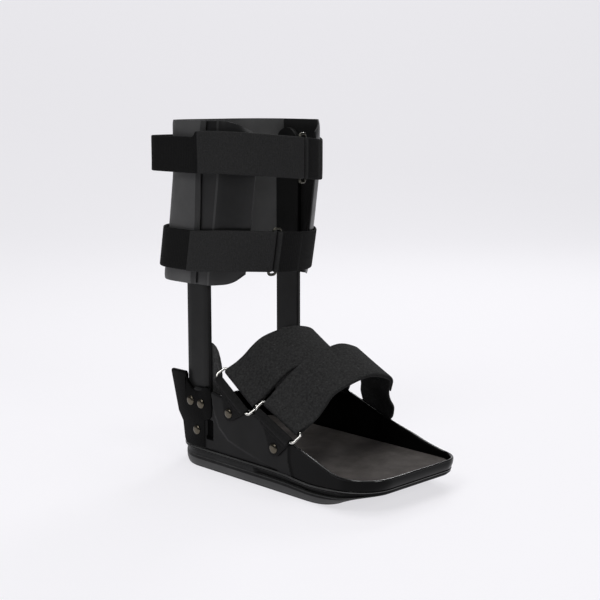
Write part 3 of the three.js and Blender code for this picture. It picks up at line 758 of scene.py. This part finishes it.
def ear_plates():
    """The ears' outer plates, notched for the uprights."""
    notch = arc(0, NOTCH_FLOOR + NOTCH_RADIUS, NOTCH_RADIUS, 0, -140, 24)
    outline = EAR_BEFORE_NOTCH + notch + EAR_AFTER_NOTCH
    for side, label in SIDES:
        mesh = bpy.data.meshes.new(f"boot_ear_{label}")
        mesh.materials.append(EAR)
        work = bmesh.new()
        front, back = (
            [work.verts.new(place((side * x, y, z))) for y, z in outline]
            for x in (EAR_FACE, EAR_FACE - WALL)
        )
        work.faces.new(front)
        work.faces.new(back[::-1])
        for i in range(len(outline)):
            j = (i + 1) % len(outline)
            work.faces.new((front[j], front[i], back[i], back[j]))
        bmesh.ops.recalc_face_normals(work, faces=work.faces)
        rim = [e for e in work.edges if e.calc_face_angle() > math.radians(60)]
        bmesh.ops.bevel(work, geom=rim, offset=EAR_BEVEL * MM, segments=3, affect="EDGES", profile=0.5)
        bmesh.ops.triangulate(work, faces=[f for f in work.faces if len(f.verts) > 4])
        shade(work, mesh, 30)
        add_piece(mesh)


TREAD_TOE_START = 0.645
TREAD_TOE_CURVE = 1.5
TREAD_HEEL_START = 0.36
GROOVE_START = 0.36
GROOVE_FULL = 0.385


def outsole():
    lip = sole_outline()

    def ring(offset, height, tuck=TOE_TUCK):
        points = []
        for (x, y), (_, base_y) in zip(sole_outline(offset), lip):
            points.append((x, y + tuck * tuck_share(base_y), height(base_y)))
        return points

    def tread(y):
        toe = smoothstep(-y, TOE_REACH * TREAD_TOE_START, TOE_REACH) ** TREAD_TOE_CURVE
        heel = smoothstep(y, HEEL_REACH * TREAD_HEEL_START, HEEL_REACH)
        return TOE_SPRING * toe + HEEL_SPRING * heel

    def lip_top(y):
        return blurred(SOLE_LINES, y, 2, LINE_BLUR)

    def side(share, drop=0.0):
        return lambda y: lerp(tread(y) + 0.5, max(lip_top(y) - drop, tread(y) + 1.2), share)

    def grooved(offset, height):
        inner = ring(-GROOVE_DEPTH, height)
        outer = ring(offset, height)
        points = []
        for near, deep, (_, y) in zip(outer, inner, lip):
            share = smoothstep(-y, TOE_REACH * GROOVE_START, TOE_REACH * GROOVE_FULL)
            points.append(tuple(lerp(a, b, share) for a, b in zip(near, deep)))
        return points

    def top(y):
        return OUTSOLE_HEIGHT + flange_shift(y)

    rings = [
        ring(-OUTSOLE_TUCK, tread, 2 * TOE_TUCK),
        ring(-OUTSOLE_TUCK * 0.45, side(0.0), 1.9 * TOE_TUCK),
        ring(-1.0, side(0.12), 1.8 * TOE_TUCK),
        ring(-0.2, side(0.35), 1.7 * TOE_TUCK),
        ring(0.0, side(0.75, 1.0), 1.55 * TOE_TUCK),
        ring(0.0, side(1.0, 1.2), 1.5 * TOE_TUCK),
        ring(-0.3, side(1.0, 0.5), 1.45 * TOE_TUCK),
        grooved(-0.9, lip_top),
        grooved(-0.4, lambda y: min(lip_top(y) + 0.8, top(y) - 0.6)),
        grooved(-0.2, lambda y: top(y) - 0.5),
        grooved(-0.6, top),
    ]
    points, faces = ring_loft(rings)
    # These lip rings take the painted highlight.
    lip_rings = (2, 3, 5, 6)
    slots = [1 if min(face) // len(lip) in lip_rings else 0 for face in faces]
    new_piece("outsole", points, faces, [RUBBER, OUTSOLE_LIP_PAINTED_HIGHLIGHT], 35, face_slots=slots)


INSOLE_PROFILE = [
    # offset, height
    (0, 0),
    (0, INSOLE_THICKNESS - 2.2),
    (-0.5, INSOLE_THICKNESS - 1),
    (-1.8, INSOLE_THICKNESS - 0.2),
    (-4, INSOLE_THICKNESS),
    (-14, INSOLE_THICKNESS - 0.4),
]


def insole():
    edge = WALL + TOE_INSET + SLIP_FIT
    rings = []
    for offset, height in INSOLE_PROFILE:
        rings.append([(x, y, FLOOR_TOP + FIT + height) for x, y in sole_outline(-edge + offset)])
    points, faces = ring_loft(rings)
    new_piece("insole", points, faces, [FOAM], 60)


# Uprights and pads

UPRIGHT_SECTION = [
    # y share of the half width, depth from the outer face
    (-1.0, 1.6),
    (-0.965, 0.7),
    (-0.86, 0.08),
    (-0.5, 0.0),
    (0.5, 0.0),
    (0.86, 0.08),
    (0.965, 0.7),
    (1.0, 1.6),
    (1.0, UPRIGHT_THICKNESS - 0.8),
    (0.95, UPRIGHT_THICKNESS),
    (-0.95, UPRIGHT_THICKNESS),
    (-1.0, UPRIGHT_THICKNESS - 0.8),
]


UPRIGHT_STEP = 8


def uprights():
    radius = UPRIGHT_WIDTH / 2
    rises = [radius * (1 - math.cos(math.radians(9 * i))) for i in range(11)]
    heights = [UPRIGHT_FOOT + rise for rise in rises]
    z = UPRIGHT_FOOT + radius + 10
    while z < UPRIGHT_TOP - radius - UPRIGHT_STEP:
        heights.append(z)
        z += UPRIGHT_STEP
    heights += [UPRIGHT_TOP - rise for rise in reversed(rises)]
    for side, label in SIDES:
        points = []
        for z in heights:
            end = min(z - UPRIGHT_FOOT, UPRIGHT_TOP - z, radius)
            half = math.sqrt(max(radius ** 2 - (radius - end) ** 2, 1.0))
            for share, depth in UPRIGHT_SECTION:
                points.append((side * (UPRIGHT_FACE - depth), UPRIGHT_OFFSET + share * half, z))
        count = len(UPRIGHT_SECTION)
        faces = [tuple(range(count)), tuple(range(len(points) - count, len(points)))]
        faces += tube_faces(len(heights), count)
        new_piece(f"upright_{label}", points, faces, [BAR], 35)


PAD_SECTION = [
    # depth, shrink
    (0.0, 2.6), (0.6, 1.0), (1.8, 0.2), (3.2, 0.0), (4.8, 0.3), (6.2, 1.4), (7.4, 3.4),
    (8.3, 6.5), (8.8, 10.0), (9.0, 14.0),
]
PAD_POINTS = 72
PAD_RIPPLE = 0.35


def ankle_pads():
    """Rounded foam pads with a fuzzy cover, inside the uprights."""
    face = UPRIGHT_FACE - UPRIGHT_THICKNESS - FIT
    middle, half = (PAD_FOOT + PAD_TOP) / 2, (PAD_TOP - PAD_FOOT) / 2
    for side, label in SIDES:
        rings = []
        for depth, shrink in PAD_SECTION:
            ring = []
            for k in range(PAD_POINTS):
                angle = math.radians(k * 5 + 2.5)
                c, s = math.cos(angle), math.sin(angle)
                y = -PAD_FORWARD + math.copysign(abs(c) ** 0.7, c) * (PAD_HALF - shrink)
                z = middle + math.copysign(abs(s) ** 0.8, s) * (half - shrink)
                ripple = PAD_RIPPLE * math.sin(0.9 * y + 1.7 * side) * math.sin(0.55 * z)
                reach = depth + (ripple if 2 < depth < 8.9 else 0)
                ring.append((side * (face - reach), y, z))
            rings.append(ring)
        points, faces = ring_loft(rings)
        piece = new_piece(f"ankle_pad_{label}", points, faces, [PAD], 80)


# Calf shells and rear panel

LEAN_LINE = [
    # height share of the calf pieces, share of the lean
    (0.0, 1.0),
    (0.34, 0.45),
    (0.69, 0.0),
    (1.0, 0.0),
]


def lean(z):
    share = (z - CALF_FOOT) / CALF_HEIGHT
    return CALF_LEAN * sum(look_up(LEAN_LINE, share + k * 0.05, 1) for k in (-1, 0, 1)) / 3


SHELL_SECTION = [
    # x share, y share of the front reach, top drop share, foot drop share
    (1.0, -0.5, 0.0, 0.0),
    (1.0, 0.0, 0.0, 0.0),
    (1.0, 0.3, 0.0, 0.0),
    (1.0, 0.53, 0.0, 0.0),
    (0.975, 0.66, 0.0, 0.02),
    (0.92, 0.75, 0.08, 0.06),
    (0.85, 0.85, 0.3, 0.15),
    (0.77, 0.93, 0.62, 0.42),
    (0.67, 1.0, 1.0, 1.0),
]
SHELL_FLANK_ROWS = 3
SHELL_TOP_DROP = 13.0
SHELL_FOOT_DROP = 12.0
SHELL_ROWS = 48
SHELL_BAND = 1.5
SHELL_EDGE = 0.9
RIB_PLACE = -37.0
RIB_RISE = 0.5
RIB_SPREAD = 1.5
RIB_HIGHLIGHT_HALF = 0.8
PANEL_ROWS = 44
PANEL_COLUMNS = 121
PANEL_SIDE_BAND = 4
PANEL_END_BAND = 1.2
PANEL_EDGE_COLUMNS = 3
PANEL_FRONT_LINE = [
    # height share of the calf pieces, share of the panel's front reach
    (0.0, 0.04),
    (0.36, 0.43),
    (0.68, 0.54),
    (1.0, 1.0),
]


def panel_front(z):
    share = (z - CALF_FOOT) / CALF_HEIGHT
    return PANEL_FRONT * blurred(PANEL_FRONT_LINE, share, 1, 0.05)


def shell_plan(z, section):
    edge = SHELL_SECTION[-1][0]
    plan = []
    for across, along, *_ in section:
        x = SHELL_FACE * across + (SHELL_FRONT_HALF - SHELL_FACE * edge) * ((1 - across) / (1 - edge))
        y = SHELL_REAR * along / -0.5 if along < 0 else -SHELL_FRONT * along
        plan.append((x, y + lean(z)))
    return plan


def calf_shells():
    fine = resample(catmull(SHELL_SECTION, 8), 70)
    rows, count = SHELL_ROWS, len(fine)
    for side, label in SIDES:
        grid = []
        for r in range(rows + 1):
            row = []
            for i, (_, _, top_drop, foot_drop) in enumerate(fine):
                foot = CALF_FOOT + SHELL_FOOT_DROP * foot_drop
                top = CALF_TOP - SHELL_TOP_DROP * top_drop
                z = lerp(foot, top, r / rows)
                x, y = shell_plan(z, fine[i:i + 1])[0]
                row.append((side * x, y, z))
            grid.append(row)
        sign = 1 if grid_normals(grid)[rows // 2][10].x * side > 0 else -1

        def outer_reach(i, j):
            y = grid[i][j][1] - lean(grid[i][j][2])
            rib = RIB_RISE * math.exp(-((y - RIB_PLACE) / RIB_SPREAD) ** 2)
            return sign * (rib - SHELL_EDGE * border_share(i, j, rows, count, SHELL_BAND))

        def inner_reach(i, j):
            return -sign * (SHELL_THICKNESS - SHELL_EDGE * border_share(i, j, rows, count, SHELL_BAND))

        points, faces, _ = between(moved_grid(grid, outer_reach), moved_grid(grid, inner_reach))
        # Faces along the rib take the painted highlight.
        slots = [0] * len(faces)
        for k in range(rows * (count - 1)):
            x, y, z = points[faces[k][0]]
            slots[k] = int(abs(y - lean(z) - RIB_PLACE) < RIB_HIGHLIGHT_HALF)
        new_piece(f"calf_shell_{label}", points, faces, [SHELL, SHELL_RIB_PAINTED_HIGHLIGHT], 50,
                  face_slots=slots)


def back_curve(half, rear, corner, front):
    near = [(-half, -front), (-half, (rear - corner - front) / 2)]
    near += arc(-half + corner, rear - corner, corner, 180, 90, 24)
    return near + [(-x, y) for x, y in reversed(near)]


def rear_panel():
    rows, columns = PANEL_ROWS, PANEL_COLUMNS
    grid = []
    for r in range(rows + 1):
        z = CALF_FOOT + CALF_HEIGHT * r / rows
        front = panel_front(z) + lean(z)
        plan = resample(back_curve(PANEL_FACE, PANEL_REAR, PANEL_CORNER, front), columns)
        grid.append([(x, y + lean(z), z) for x, y in plan])
    sign = 1 if grid_normals(grid)[rows // 2][3].x < 0 else -1

    def outer_reach(i, j):
        turn = 1.5 * (1 - smoothstep(min(j, columns - 1 - j), 0, PANEL_SIDE_BAND))
        return -sign * (turn + 0.7 * (1 - smoothstep(min(i, rows - i), 0, PANEL_END_BAND)))

    def inner_reach(i, j):
        return -sign * (PANEL_THICKNESS - 0.5 * border_share(i, j, rows, columns, PANEL_END_BAND))

    points, faces, _ = between(moved_grid(grid, outer_reach), moved_grid(grid, inner_reach))
    slots = []
    for k in range(len(faces)):
        column = k % (columns - 1)
        slots.append(int(min(column, columns - 2 - column) < PANEL_EDGE_COLUMNS))
    new_piece("rear_panel", points, faces, [PANEL, PANEL_EDGE], 50, face_slots=slots)


# Calf straps: a far folded end, round the ring's far bar, round the back to the near bar,
# and folded over again along the near side

CALF_STRAPS = {
    "upper": dict(height=352.5, slack=4.0, rear=11.0, corner=18.0, ring_x=12.0, bow=11.0,
                  fall=8.0, drop=6.0, narrow=6.0, overlap_end=-15.0, chape=30.0),
    "lower": dict(height=245.5, slack=1.5, rear=3.0, corner=PANEL_CORNER, ring_x=-17.0, bow=11.0,
                  fall=7.0, drop=2.5, narrow=0.0, overlap_end=8.0, chape=34.0),
}
LAYER_GAP = 0.25
BASE_COUNT = 221
DIP_LENGTH = 16.0
SMOOTH_PASSES = 6
TURN_STEPS = 10
BAR_WRAP = WIRE / 2 + FIT + STRAP_THICKNESS / 2


def calf_base(strap, z):
    """The strap's middle line in plan, from the ring's far bar round the back to its near bar."""
    off = STRAP_THICKNESS / 2 + FIT
    half = PANEL_FACE + strap["slack"] + off
    rear = PANEL_REAR + strap["rear"] + off
    back = lean(z)
    plan = shell_plan(z, SHELL_SECTION[SHELL_FLANK_ROWS:])[::-1]
    normals = plan_normals(plan)
    shell = [(x + (off + 0.5) * nx, y + (off + 0.5) * ny) for (x, y), (nx, ny) in zip(plan, normals)]
    edge_x, edge_y = shell[0]
    flank = [(half - 0.4, -panel_front(z) - 3), (half, back - 2)]

    def side(s):
        return [(s * x, y) for x, y in shell + flank]

    def bow(x):
        return (x, edge_y - strap["bow"] * (1 - (x / edge_x) ** 2))

    behind = [(x, y + back) for x, y in back_curve(half, rear, strap["corner"], 0)[1:-1]]
    reach = CALF_RING_CROSS / 2
    ring_x = strap["ring_x"]
    steps = [k / 16 for k in range(1, 16)]
    far = [bow(lerp(ring_x + reach, edge_x, s)) for s in [0] + steps]
    near = [bow(lerp(-edge_x, ring_x - reach, s)) for s in steps + [1]]
    path = far + side(1) + behind[::-1] + side(-1)[::-1] + near
    return smoothed(resample(path, BASE_COUNT), SMOOTH_PASSES)


def wrap_points(centre, along, out):
    """Half a turn round a bar, from its inner side to its outer side."""
    return [
        tuple(c + BAR_WRAP * (p * math.sin(a) - q * math.cos(a)) for c, p, q in zip(centre, along, out))
        for a in (math.pi * k / TURN_STEPS for k in range(TURN_STEPS + 1))
    ]


def calf_path(strap, z):
    base = calf_base(strap, z)
    normals = plan_normals(base)
    step = math.dist(base[0], base[1])
    count = len(base)
    over = STRAP_THICKNESS + LAYER_GAP

    def at(i, layer):
        end = min(i, count - 1 - i) * step
        near_bar = 1 - smoothstep(end, 0, DIP_LENGTH)
        inward = BAR_WRAP * near_bar
        outward = lerp(over, BAR_WRAP, near_bar)
        reach = outward if layer else -inward
        return (base[i][0] + normals[i][0] * reach, base[i][1] + normals[i][1] * reach)

    chape = int(strap["chape"] / step)
    inner = [at(i, 0) for i in range(count)]
    far_wrap = wrap_points(base[0], (-1, 0), normals[0])
    near_wrap = wrap_points(base[-1], (1, 0), normals[-1])
    end = next(i for i in range(count // 2, count) if base[i][1] < strap["overlap_end"] and base[i][0] < 0)
    path = [at(i, 1) for i in range(chape, 0, -1)] + far_wrap[::-1]
    path += inner[1:-1] + near_wrap + [at(i, 1) for i in range(count - 2, end, -1)]
    return path


def front_drop(strap, x):
    """How far the strap lies below its height in front, more on the far side."""
    return strap["drop"] + strap["fall"] * (x / SHELL_FRONT_HALF) * 0.5


def calf_rows(strap):
    columns = []
    end = strap["overlap_end"]
    for share in SHEET_SHARES:
        level = strap["height"] + (share - 0.5) * STRAP_WIDTH
        column = []
        for x, y in calf_path(strap, level):
            z = level - strap["narrow"] * share * smoothstep(y, end, end + 6)
            column.append((x, y, z - smoothstep(-y, 0, SHELL_FRONT) * front_drop(strap, x)))
        columns.append(column)
    count = min(len(column) for column in columns)
    return [[column[i] for column in columns] for i in range(count)]


def calf_straps():
    for name, strap in CALF_STRAPS.items():
        rows = calf_rows(strap)
        points, faces, sides, uv = ribbon(rows, STRAP_THICKNESS)
        per_row = len(SHEET_COLUMNS) - 1
        fold_rows = int(strap["chape"] / (Vector(rows[4][7]) - Vector(rows[5][7])).length)
        for k in range(per_row * (len(rows) - 1)):
            if k // per_row < fold_rows:
                sides[k] = sides[k + per_row * (len(rows) - 1)] = 0
        piece = new_piece(f"{name}_strap", points, faces, [STRAP_BACK, STRAP_FACE], 75,
                          uv, sides)


def wire_loop(node, centre, along, across, strap_width, breadth, material):
    """A ring of wire with round corners, as long as its strap is wide."""
    length = strap_width + 2 * RING_CORNER + 2 * FIT
    half_length, half_breadth = length / 2 - RING_CORNER, breadth / 2 - RING_CORNER
    normal = along.cross(across).normalized()
    stations = []
    for u, v, start in ((1, 1, 0), (-1, 1, 90), (-1, -1, 180), (1, -1, 270)):
        for c, s in arc(0, 0, 1, start, start + 90, 8):
            middle = centre + along * (u * half_length + RING_CORNER * c)
            middle += across * (v * half_breadth + RING_CORNER * s)
            stations.append((middle, along * c + across * s))
    sides = 16
    points, faces = [], []
    for middle, out in stations:
        for k in range(sides):
            angle = 2 * math.pi * k / sides
            points.append(middle + (out * math.cos(angle) + normal * math.sin(angle)) * (WIRE / 2))
    for i in range(len(stations)):
        j = (i + 1) % len(stations)
        for k in range(sides):
            m = (k + 1) % sides
            faces.append((i * sides + k, j * sides + k, j * sides + m, i * sides + m))
    new_piece(node, points, faces, [material], 80)


def calf_rings():
    for name, strap in CALF_STRAPS.items():
        ends = []
        for share in (-0.5, 0.5):
            z = strap["height"] + share * STRAP_WIDTH
            base = calf_base(strap, z)
            ends.append([Vector((*base[i], z - front_drop(strap, strap["ring_x"]))) for i in (0, -1)])
        low, high = ends
        far, near = ((a + b) / 2 for a, b in zip(low, high))
        along = (high[0] - low[0]).normalized()
        span = near - far
        across = (span - along * span.dot(along)).normalized()
        wire_loop(f"calf_ring_{name}", (far + near) / 2, along, across, STRAP_WIDTH, span.length,
                  DARK_STEEL)


# Foot straps: from a rivet on the far wall in an arch to the near ring, round it and back

FOOT_STRAPS = {
    "rear": dict(
        node="instep_strap", ring=(-75.6, -67.0, 98.5), slope=35.0,
        apex=(-4.0, -98.5, 147.5), apex_slope=31.7, rivet=(-57.0, 72.5), over_end=0.66,
        arch=[
            # up share, across share of the rear edge and of the front edge
            (0.1, 0.92, 0.92), (0.35, 0.79, 0.83), (0.6, 0.69, 0.74),
            (0.82, 0.54, 0.58), (0.95, 0.27, 0.3), (1.0, 0.0, 0.0),
        ],
    ),
    "front": dict(
        node="forefoot_strap", ring=(-75.6, -131.7, 76.6), slope=25.0,
        apex=(14.0, -155.5, 134.5), apex_slope=28.9, rivet=(-128.0, 48.0), over_end=0.7,
        arch=[
            (0.1, 0.96, 0.88), (0.25, 0.93, 0.78), (0.45, 0.84, 0.73),
            (0.72, 0.66, 0.68), (0.88, 0.42, 0.45), (1.0, 0.0, 0.0),
        ],
    ),
}


def half_turn(along, out, steps):
    """Directions from against out, by way of along, to out."""
    angles = [math.pi * k / steps for k in range(steps + 1)]
    return [along * math.sin(angle) - out * math.cos(angle) for angle in angles]


def slope_axis(degrees):
    angle = math.radians(degrees)
    return Vector((0, -math.cos(angle), -math.sin(angle)))


def ring_frame(strap):
    along = slope_axis(strap["slope"])
    upward = Vector((0, along.z, -along.y))
    angle = math.radians(RING_LEAN)
    across = Vector((math.cos(angle), 0, 0)) + upward * math.sin(angle)
    out = Vector((-math.sin(angle), 0, 0)) + upward * math.cos(angle)
    centre = Vector(strap["ring"])
    lower = centre - across * (FOOT_RING_CROSS / 2)
    upper = centre + across * (FOOT_RING_CROSS / 2)
    return along, across, out, centre, lower, upper


FOOT_ROWS = 181
FAR_TAPER = [
    # share of the way to the far rivet, width share
    (0.34, 1.0),
    (0.75, 0.62),
    (1.05, 0.36),
    (1.22, 0.2),
]


def foot_outer(strap):
    """Rows of points on a foot strap's outer face, from the near bar to the far rivet."""
    along, _, _, _, _, upper = ring_frame(strap)
    half = FOOT_STRAP_WIDTH / 2
    apex = Vector(strap["apex"])
    apex_along = slope_axis(strap["apex_slope"])
    face_x = OUTER_X + FIT + FOOT_STRAP_THICKNESS
    rows = [(0.0, 1.0, 1.0)] + strap["arch"]

    def station(side, up, rear_across, front_across):
        middle = upper.lerp(apex, up)
        axis = along.lerp(apex_along, up).normalized()
        spread = (face_x + upper.x) * (1 - up) ** 3 if side > 0 else 0.0
        edges = []
        if side > 0:
            front_across = min(1.0, front_across + 0.09 * (1 - smoothstep(up, 0.2, 0.6)))
        for reach, across in ((-half, rear_across), (half, front_across)):
            x = side * (abs(upper.x) * across + spread) + apex.x * up
            edges.append((x, middle.y + axis.y * reach, middle.z + axis.z * reach))
        return edges

    keys = [station(-1, *row) for row in rows]
    keys += [station(1, *row) for row in reversed(rows[:-1])]
    arch_count = len(keys)
    base = Vector((-upper.x, upper.y, upper.z))
    rivet_y, rivet_z = strap["rivet"]
    for share, width in FAR_TAPER:
        middle = Vector((face_x, lerp(base.y, rivet_y, share), lerp(base.z, rivet_z, share)))
        reach = along * half * width
        keys.append([tuple(middle - reach), tuple(middle + reach)])
    edges = []
    for side in (0, 1):
        arch = catmull([key[side] for key in keys[:arch_count]], 10)
        edge = resample(arch + [key[side] for key in keys[arch_count:]], FOOT_ROWS)
        edges.append(smoothed(edge, SMOOTH_PASSES))
    return [[Vector(a).lerp(Vector(b), share) for share in SHEET_SHARES] for a, b in zip(*edges)]


FREE_BLEND = 30.0
BAR_BLEND = 14.0


def foot_straps():
    layer = FOOT_STRAP_THICKNESS / 2 - 0.1
    middle_column = len(SHEET_SHARES) // 2
    columns = range(len(SHEET_SHARES))
    wrap = WIRE / 2 + FIT + layer / 2
    for strap in FOOT_STRAPS.values():
        along, _, _, _, _, upper = ring_frame(strap)
        outer = foot_outer(strap)
        normals = grid_normals(outer)
        sign = 1 if normals[90][middle_column].z > 0 else -1
        count = len(outer)
        step = (outer[20][middle_column] - outer[21][middle_column]).length
        over_end = int(count * strap["over_end"])
        bar = [upper + along * ((share - 0.5) * FOOT_STRAP_WIDTH) for share in SHEET_SHARES]
        free = moved_grid(outer, lambda i, j: -sign * FOOT_STRAP_THICKNESS / 2)
        slip = [bar[j] - free[0][j] for j in columns]
        middle = [
            [free[i][j] + slip[j] * (1 - smoothstep(i * step, 0, FREE_BLEND)) for j in columns]
            for i in range(count)
        ]
        beyond = middle[0][middle_column] - middle[3][middle_column]
        beyond = (beyond - along * beyond.dot(along)).normalized()
        facing = along.cross(beyond).normalized()
        if facing.dot(normals[4][middle_column] * sign) < 0:
            facing = -facing

        def laid(i, j, face):
            """A point on the inner (-1) or outer (1) layer, spread round the bar at the near end."""
            at_bar = 1 - smoothstep(i * step, 0, BAR_BLEND)
            normal = (normals[i][j] * sign).lerp(facing, at_bar).normalized()
            return middle[i][j] + normal * (face * lerp((layer + 0.2) / 2, wrap, at_bar))

        rows = [[laid(i, j, -1) for j in columns] for i in range(count - 1, 0, -1)]
        rows += [[point + turn * wrap for point in bar] for turn in half_turn(beyond, facing, TURN_STEPS)]
        rows += [[laid(i, j, 1) for j in columns] for i in range(1, over_end)]
        points, faces, _, uv = ribbon(rows, layer)
        piece = new_piece(strap["node"], points, faces, [PILE], 80, uv)


def foot_rings():
    for name, strap in FOOT_STRAPS.items():
        along, across, _, centre, _, _ = ring_frame(strap)
        wire_loop(f"foot_ring_{name}", centre, along, across, FOOT_STRAP_WIDTH, FOOT_RING_CROSS, STEEL)


TAB_FOOT_ANGLES = ((-50, -60), (-30, -80), (-8, -100), (12, -122))
TAB_RISES = (0.2, 0.4, 0.6, 0.78)
TAB_ROWS = 60
TAB_TURN = 12
TAB_FOLD = 15
TAB_FOLD_LENGTH = 16


def ring_tabs():
    """Tapered tabs from the wall's rivets, folded round each ring's lower bar."""
    plate_x = -(OUTER_X + FIT + TAB_THICKNESS / 2)
    wrap = WIRE / 2 + FIT + TAB_THICKNESS / 2
    lift = Vector((-1, 0, 0)) * (TAB_THICKNESS + 0.2)
    for name, strap in FOOT_STRAPS.items():
        along, across, out, _, lower, _ = ring_frame(strap)
        half = FOOT_STRAP_WIDTH / 2
        rivet_y, rivet_z = strap["rivet"]

        def foot(angle):
            a = math.radians(angle)
            return Vector((plate_x, rivet_y + TAB_FOOT * math.cos(a), rivet_z + TAB_FOOT * math.sin(a)))

        tops = (lower - along * half, lower + along * half)
        keys = [[foot(rear), foot(front)] for rear, front in TAB_FOOT_ANGLES]
        last = keys[-1]
        for share in TAB_RISES:
            keys.append([a.lerp(Vector((plate_x, b.y, b.z)), share) for a, b in zip(last, tops)])
        keys.append([top - across * 1.0 - out * wrap for top in tops])
        edges = [resample(catmull([tuple(key[end]) for key in keys], 8), TAB_ROWS) for end in (0, 1)]
        pairs = [(Vector(a), Vector(b)) for a, b in zip(*edges)]
        pairs += [[top + turn * wrap for top in tops] for turn in half_turn(across, out, TAB_TURN)]
        for k in range(1, TAB_FOLD + 1):
            share = k / TAB_FOLD
            plate = pairs[TAB_ROWS - 3 - int(share * 14)]
            slid = [top + out * wrap - across * (TAB_FOLD_LENGTH * share) for top in tops]
            blend = smoothstep(share, 0, 0.5)
            pairs.append([a.lerp(b + lift, blend) for a, b in zip(slid, plate)])
        rows = [[a.lerp(b, share) for share in SHEET_SHARES] for a, b in pairs]
        points, faces, _, uv = ribbon(rows, TAB_THICKNESS - 0.3)
        new_piece(f"ring_tab_{name}", points, faces, [TAB], 80, uv)


# Rivets

RIVET_ROWS = [
    # y share of the upright's width, height
    (0.23, 75.0),
    (-0.26, 74.0),
    (-0.06, 43.0),
]
RIVET_PROFILE = [
    # radius share, rise share
    (1.0, 0.0),
    (1.0, 0.16),
    (0.96, 0.34),
    (0.85, 0.62),
    (0.68, 0.84),
    (0.46, 0.96),
    (0.24, 0.99),
    (0.1, 1.0),
]


RIVET_POINTS = 32


def rivets():
    for side, label in SIDES:
        spots = [(UPRIGHT_OFFSET + share * UPRIGHT_WIDTH, z, EAR_FACE) for share, z in RIVET_ROWS]
        thickness = TAB_THICKNESS if side < 0 else FOOT_STRAP_THICKNESS
        for strap in FOOT_STRAPS.values():
            spots.append((*strap["rivet"], OUTER_X + FIT + thickness))
        for number, (y, z, face) in enumerate(spots, 1):
            points = []
            for radius, rise in RIVET_PROFILE:
                x = side * (face + RIVET_RISE * rise)
                reach = RIVET_HEAD * radius
                for k in range(RIVET_POINTS):
                    angle = 2 * math.pi * k / RIVET_POINTS
                    points.append((x, y + reach * math.cos(angle), z + reach * math.sin(angle)))
            faces = tube_faces(len(RIVET_PROFILE), RIVET_POINTS)
            faces.append(tuple(range(len(points) - RIVET_POINTS, len(points))))
            faces.append(tuple(range(RIVET_POINTS)))
            new_piece(f"rivet_{label}_{number}", points, faces, [NICKEL], 50)


# Floor, light and camera

LAMPS = [
    # name, place, aim, size in metres, watts
    ("key", (-1.5, -0.3, 1.9), (0.0, 0.0, 0.15), 0.9, 14),
    ("top", (0.1, 0.2, 2.2), (0.0, 0.0, 0.1), 1.4, 16),
    ("front", (-0.2, -1.9, 1.2), (0.0, 0.0, 0.1), 0.6, 7),
    ("rim", (1.5, 0.8, 1.4), (0.0, -0.1, 0.05), 0.45, 9),
]


def studio():
    """A pale floor that runs up into a backdrop, and soft lamps round the boot."""
    reach, front, depth, bend, height = 2.2, -0.62, 3.0, 0.9, 2.6
    profile = [(front, 0.0), *arc(depth - bend, bend, bend, -90, 0, 12), (depth, height)]
    yaw = math.radians(CAMERA_AZIMUTH)
    points = []
    for distance, z in profile:
        for x in (-reach, reach):
            points.append((
                x * math.cos(yaw) - distance * math.sin(yaw),
                x * math.sin(yaw) + distance * math.cos(yaw),
                z,
            ))
    mesh = bpy.data.meshes.new("floor")
    mesh.from_pydata(points, [], grid_faces(len(profile), 2))
    for polygon in mesh.polygons:
        polygon.use_smooth = True
    mesh.materials.append(shader("floor_pale", (0.32, 0.318, 0.328), 0.95, specular_ior_level=0.0,
                                 emission_strength=0.68, emission_color=(0.985, 0.975, 1.01, 1)))
    linked("floor", mesh)

    world = bpy.data.worlds.new("studio")
    bpy.context.scene.world = world
    world.use_nodes = True
    background = world.node_tree.nodes["Background"]
    background.inputs["Color"].default_value = (0.95, 0.955, 1.0, 1)
    background.inputs["Strength"].default_value = 0.12

    for name, at, aim, size, power in LAMPS:
        data = bpy.data.lights.new(name, "AREA")
        data.shape = "SQUARE"
        data.size = size
        data.energy = power
        lamp = linked(name, data)
        lamp.location = at
        lamp.rotation_euler = (Vector(aim) - Vector(at)).to_track_quat("-Z", "Y").to_euler()


def camera():
    data = bpy.data.cameras.new("camera")
    data.lens = CAMERA_LENS
    data.sensor_width = 36
    data.clip_end = 50
    eye = linked("camera", data)
    eye.location = place(CAMERA_AT)
    eye.rotation_euler = (math.radians(90 - CAMERA_DOWN), 0, math.radians(CAMERA_AZIMUTH))
    bpy.context.scene.camera = eye
    bpy.context.scene.view_settings.view_transform = "Standard"


camera()
studio()
sole_shell()
ear_plates()
outsole()
insole()
uprights()
ankle_pads()
calf_shells()
rear_panel()
calf_straps()
calf_rings()
foot_straps()
foot_rings()
ring_tabs()
rivets()
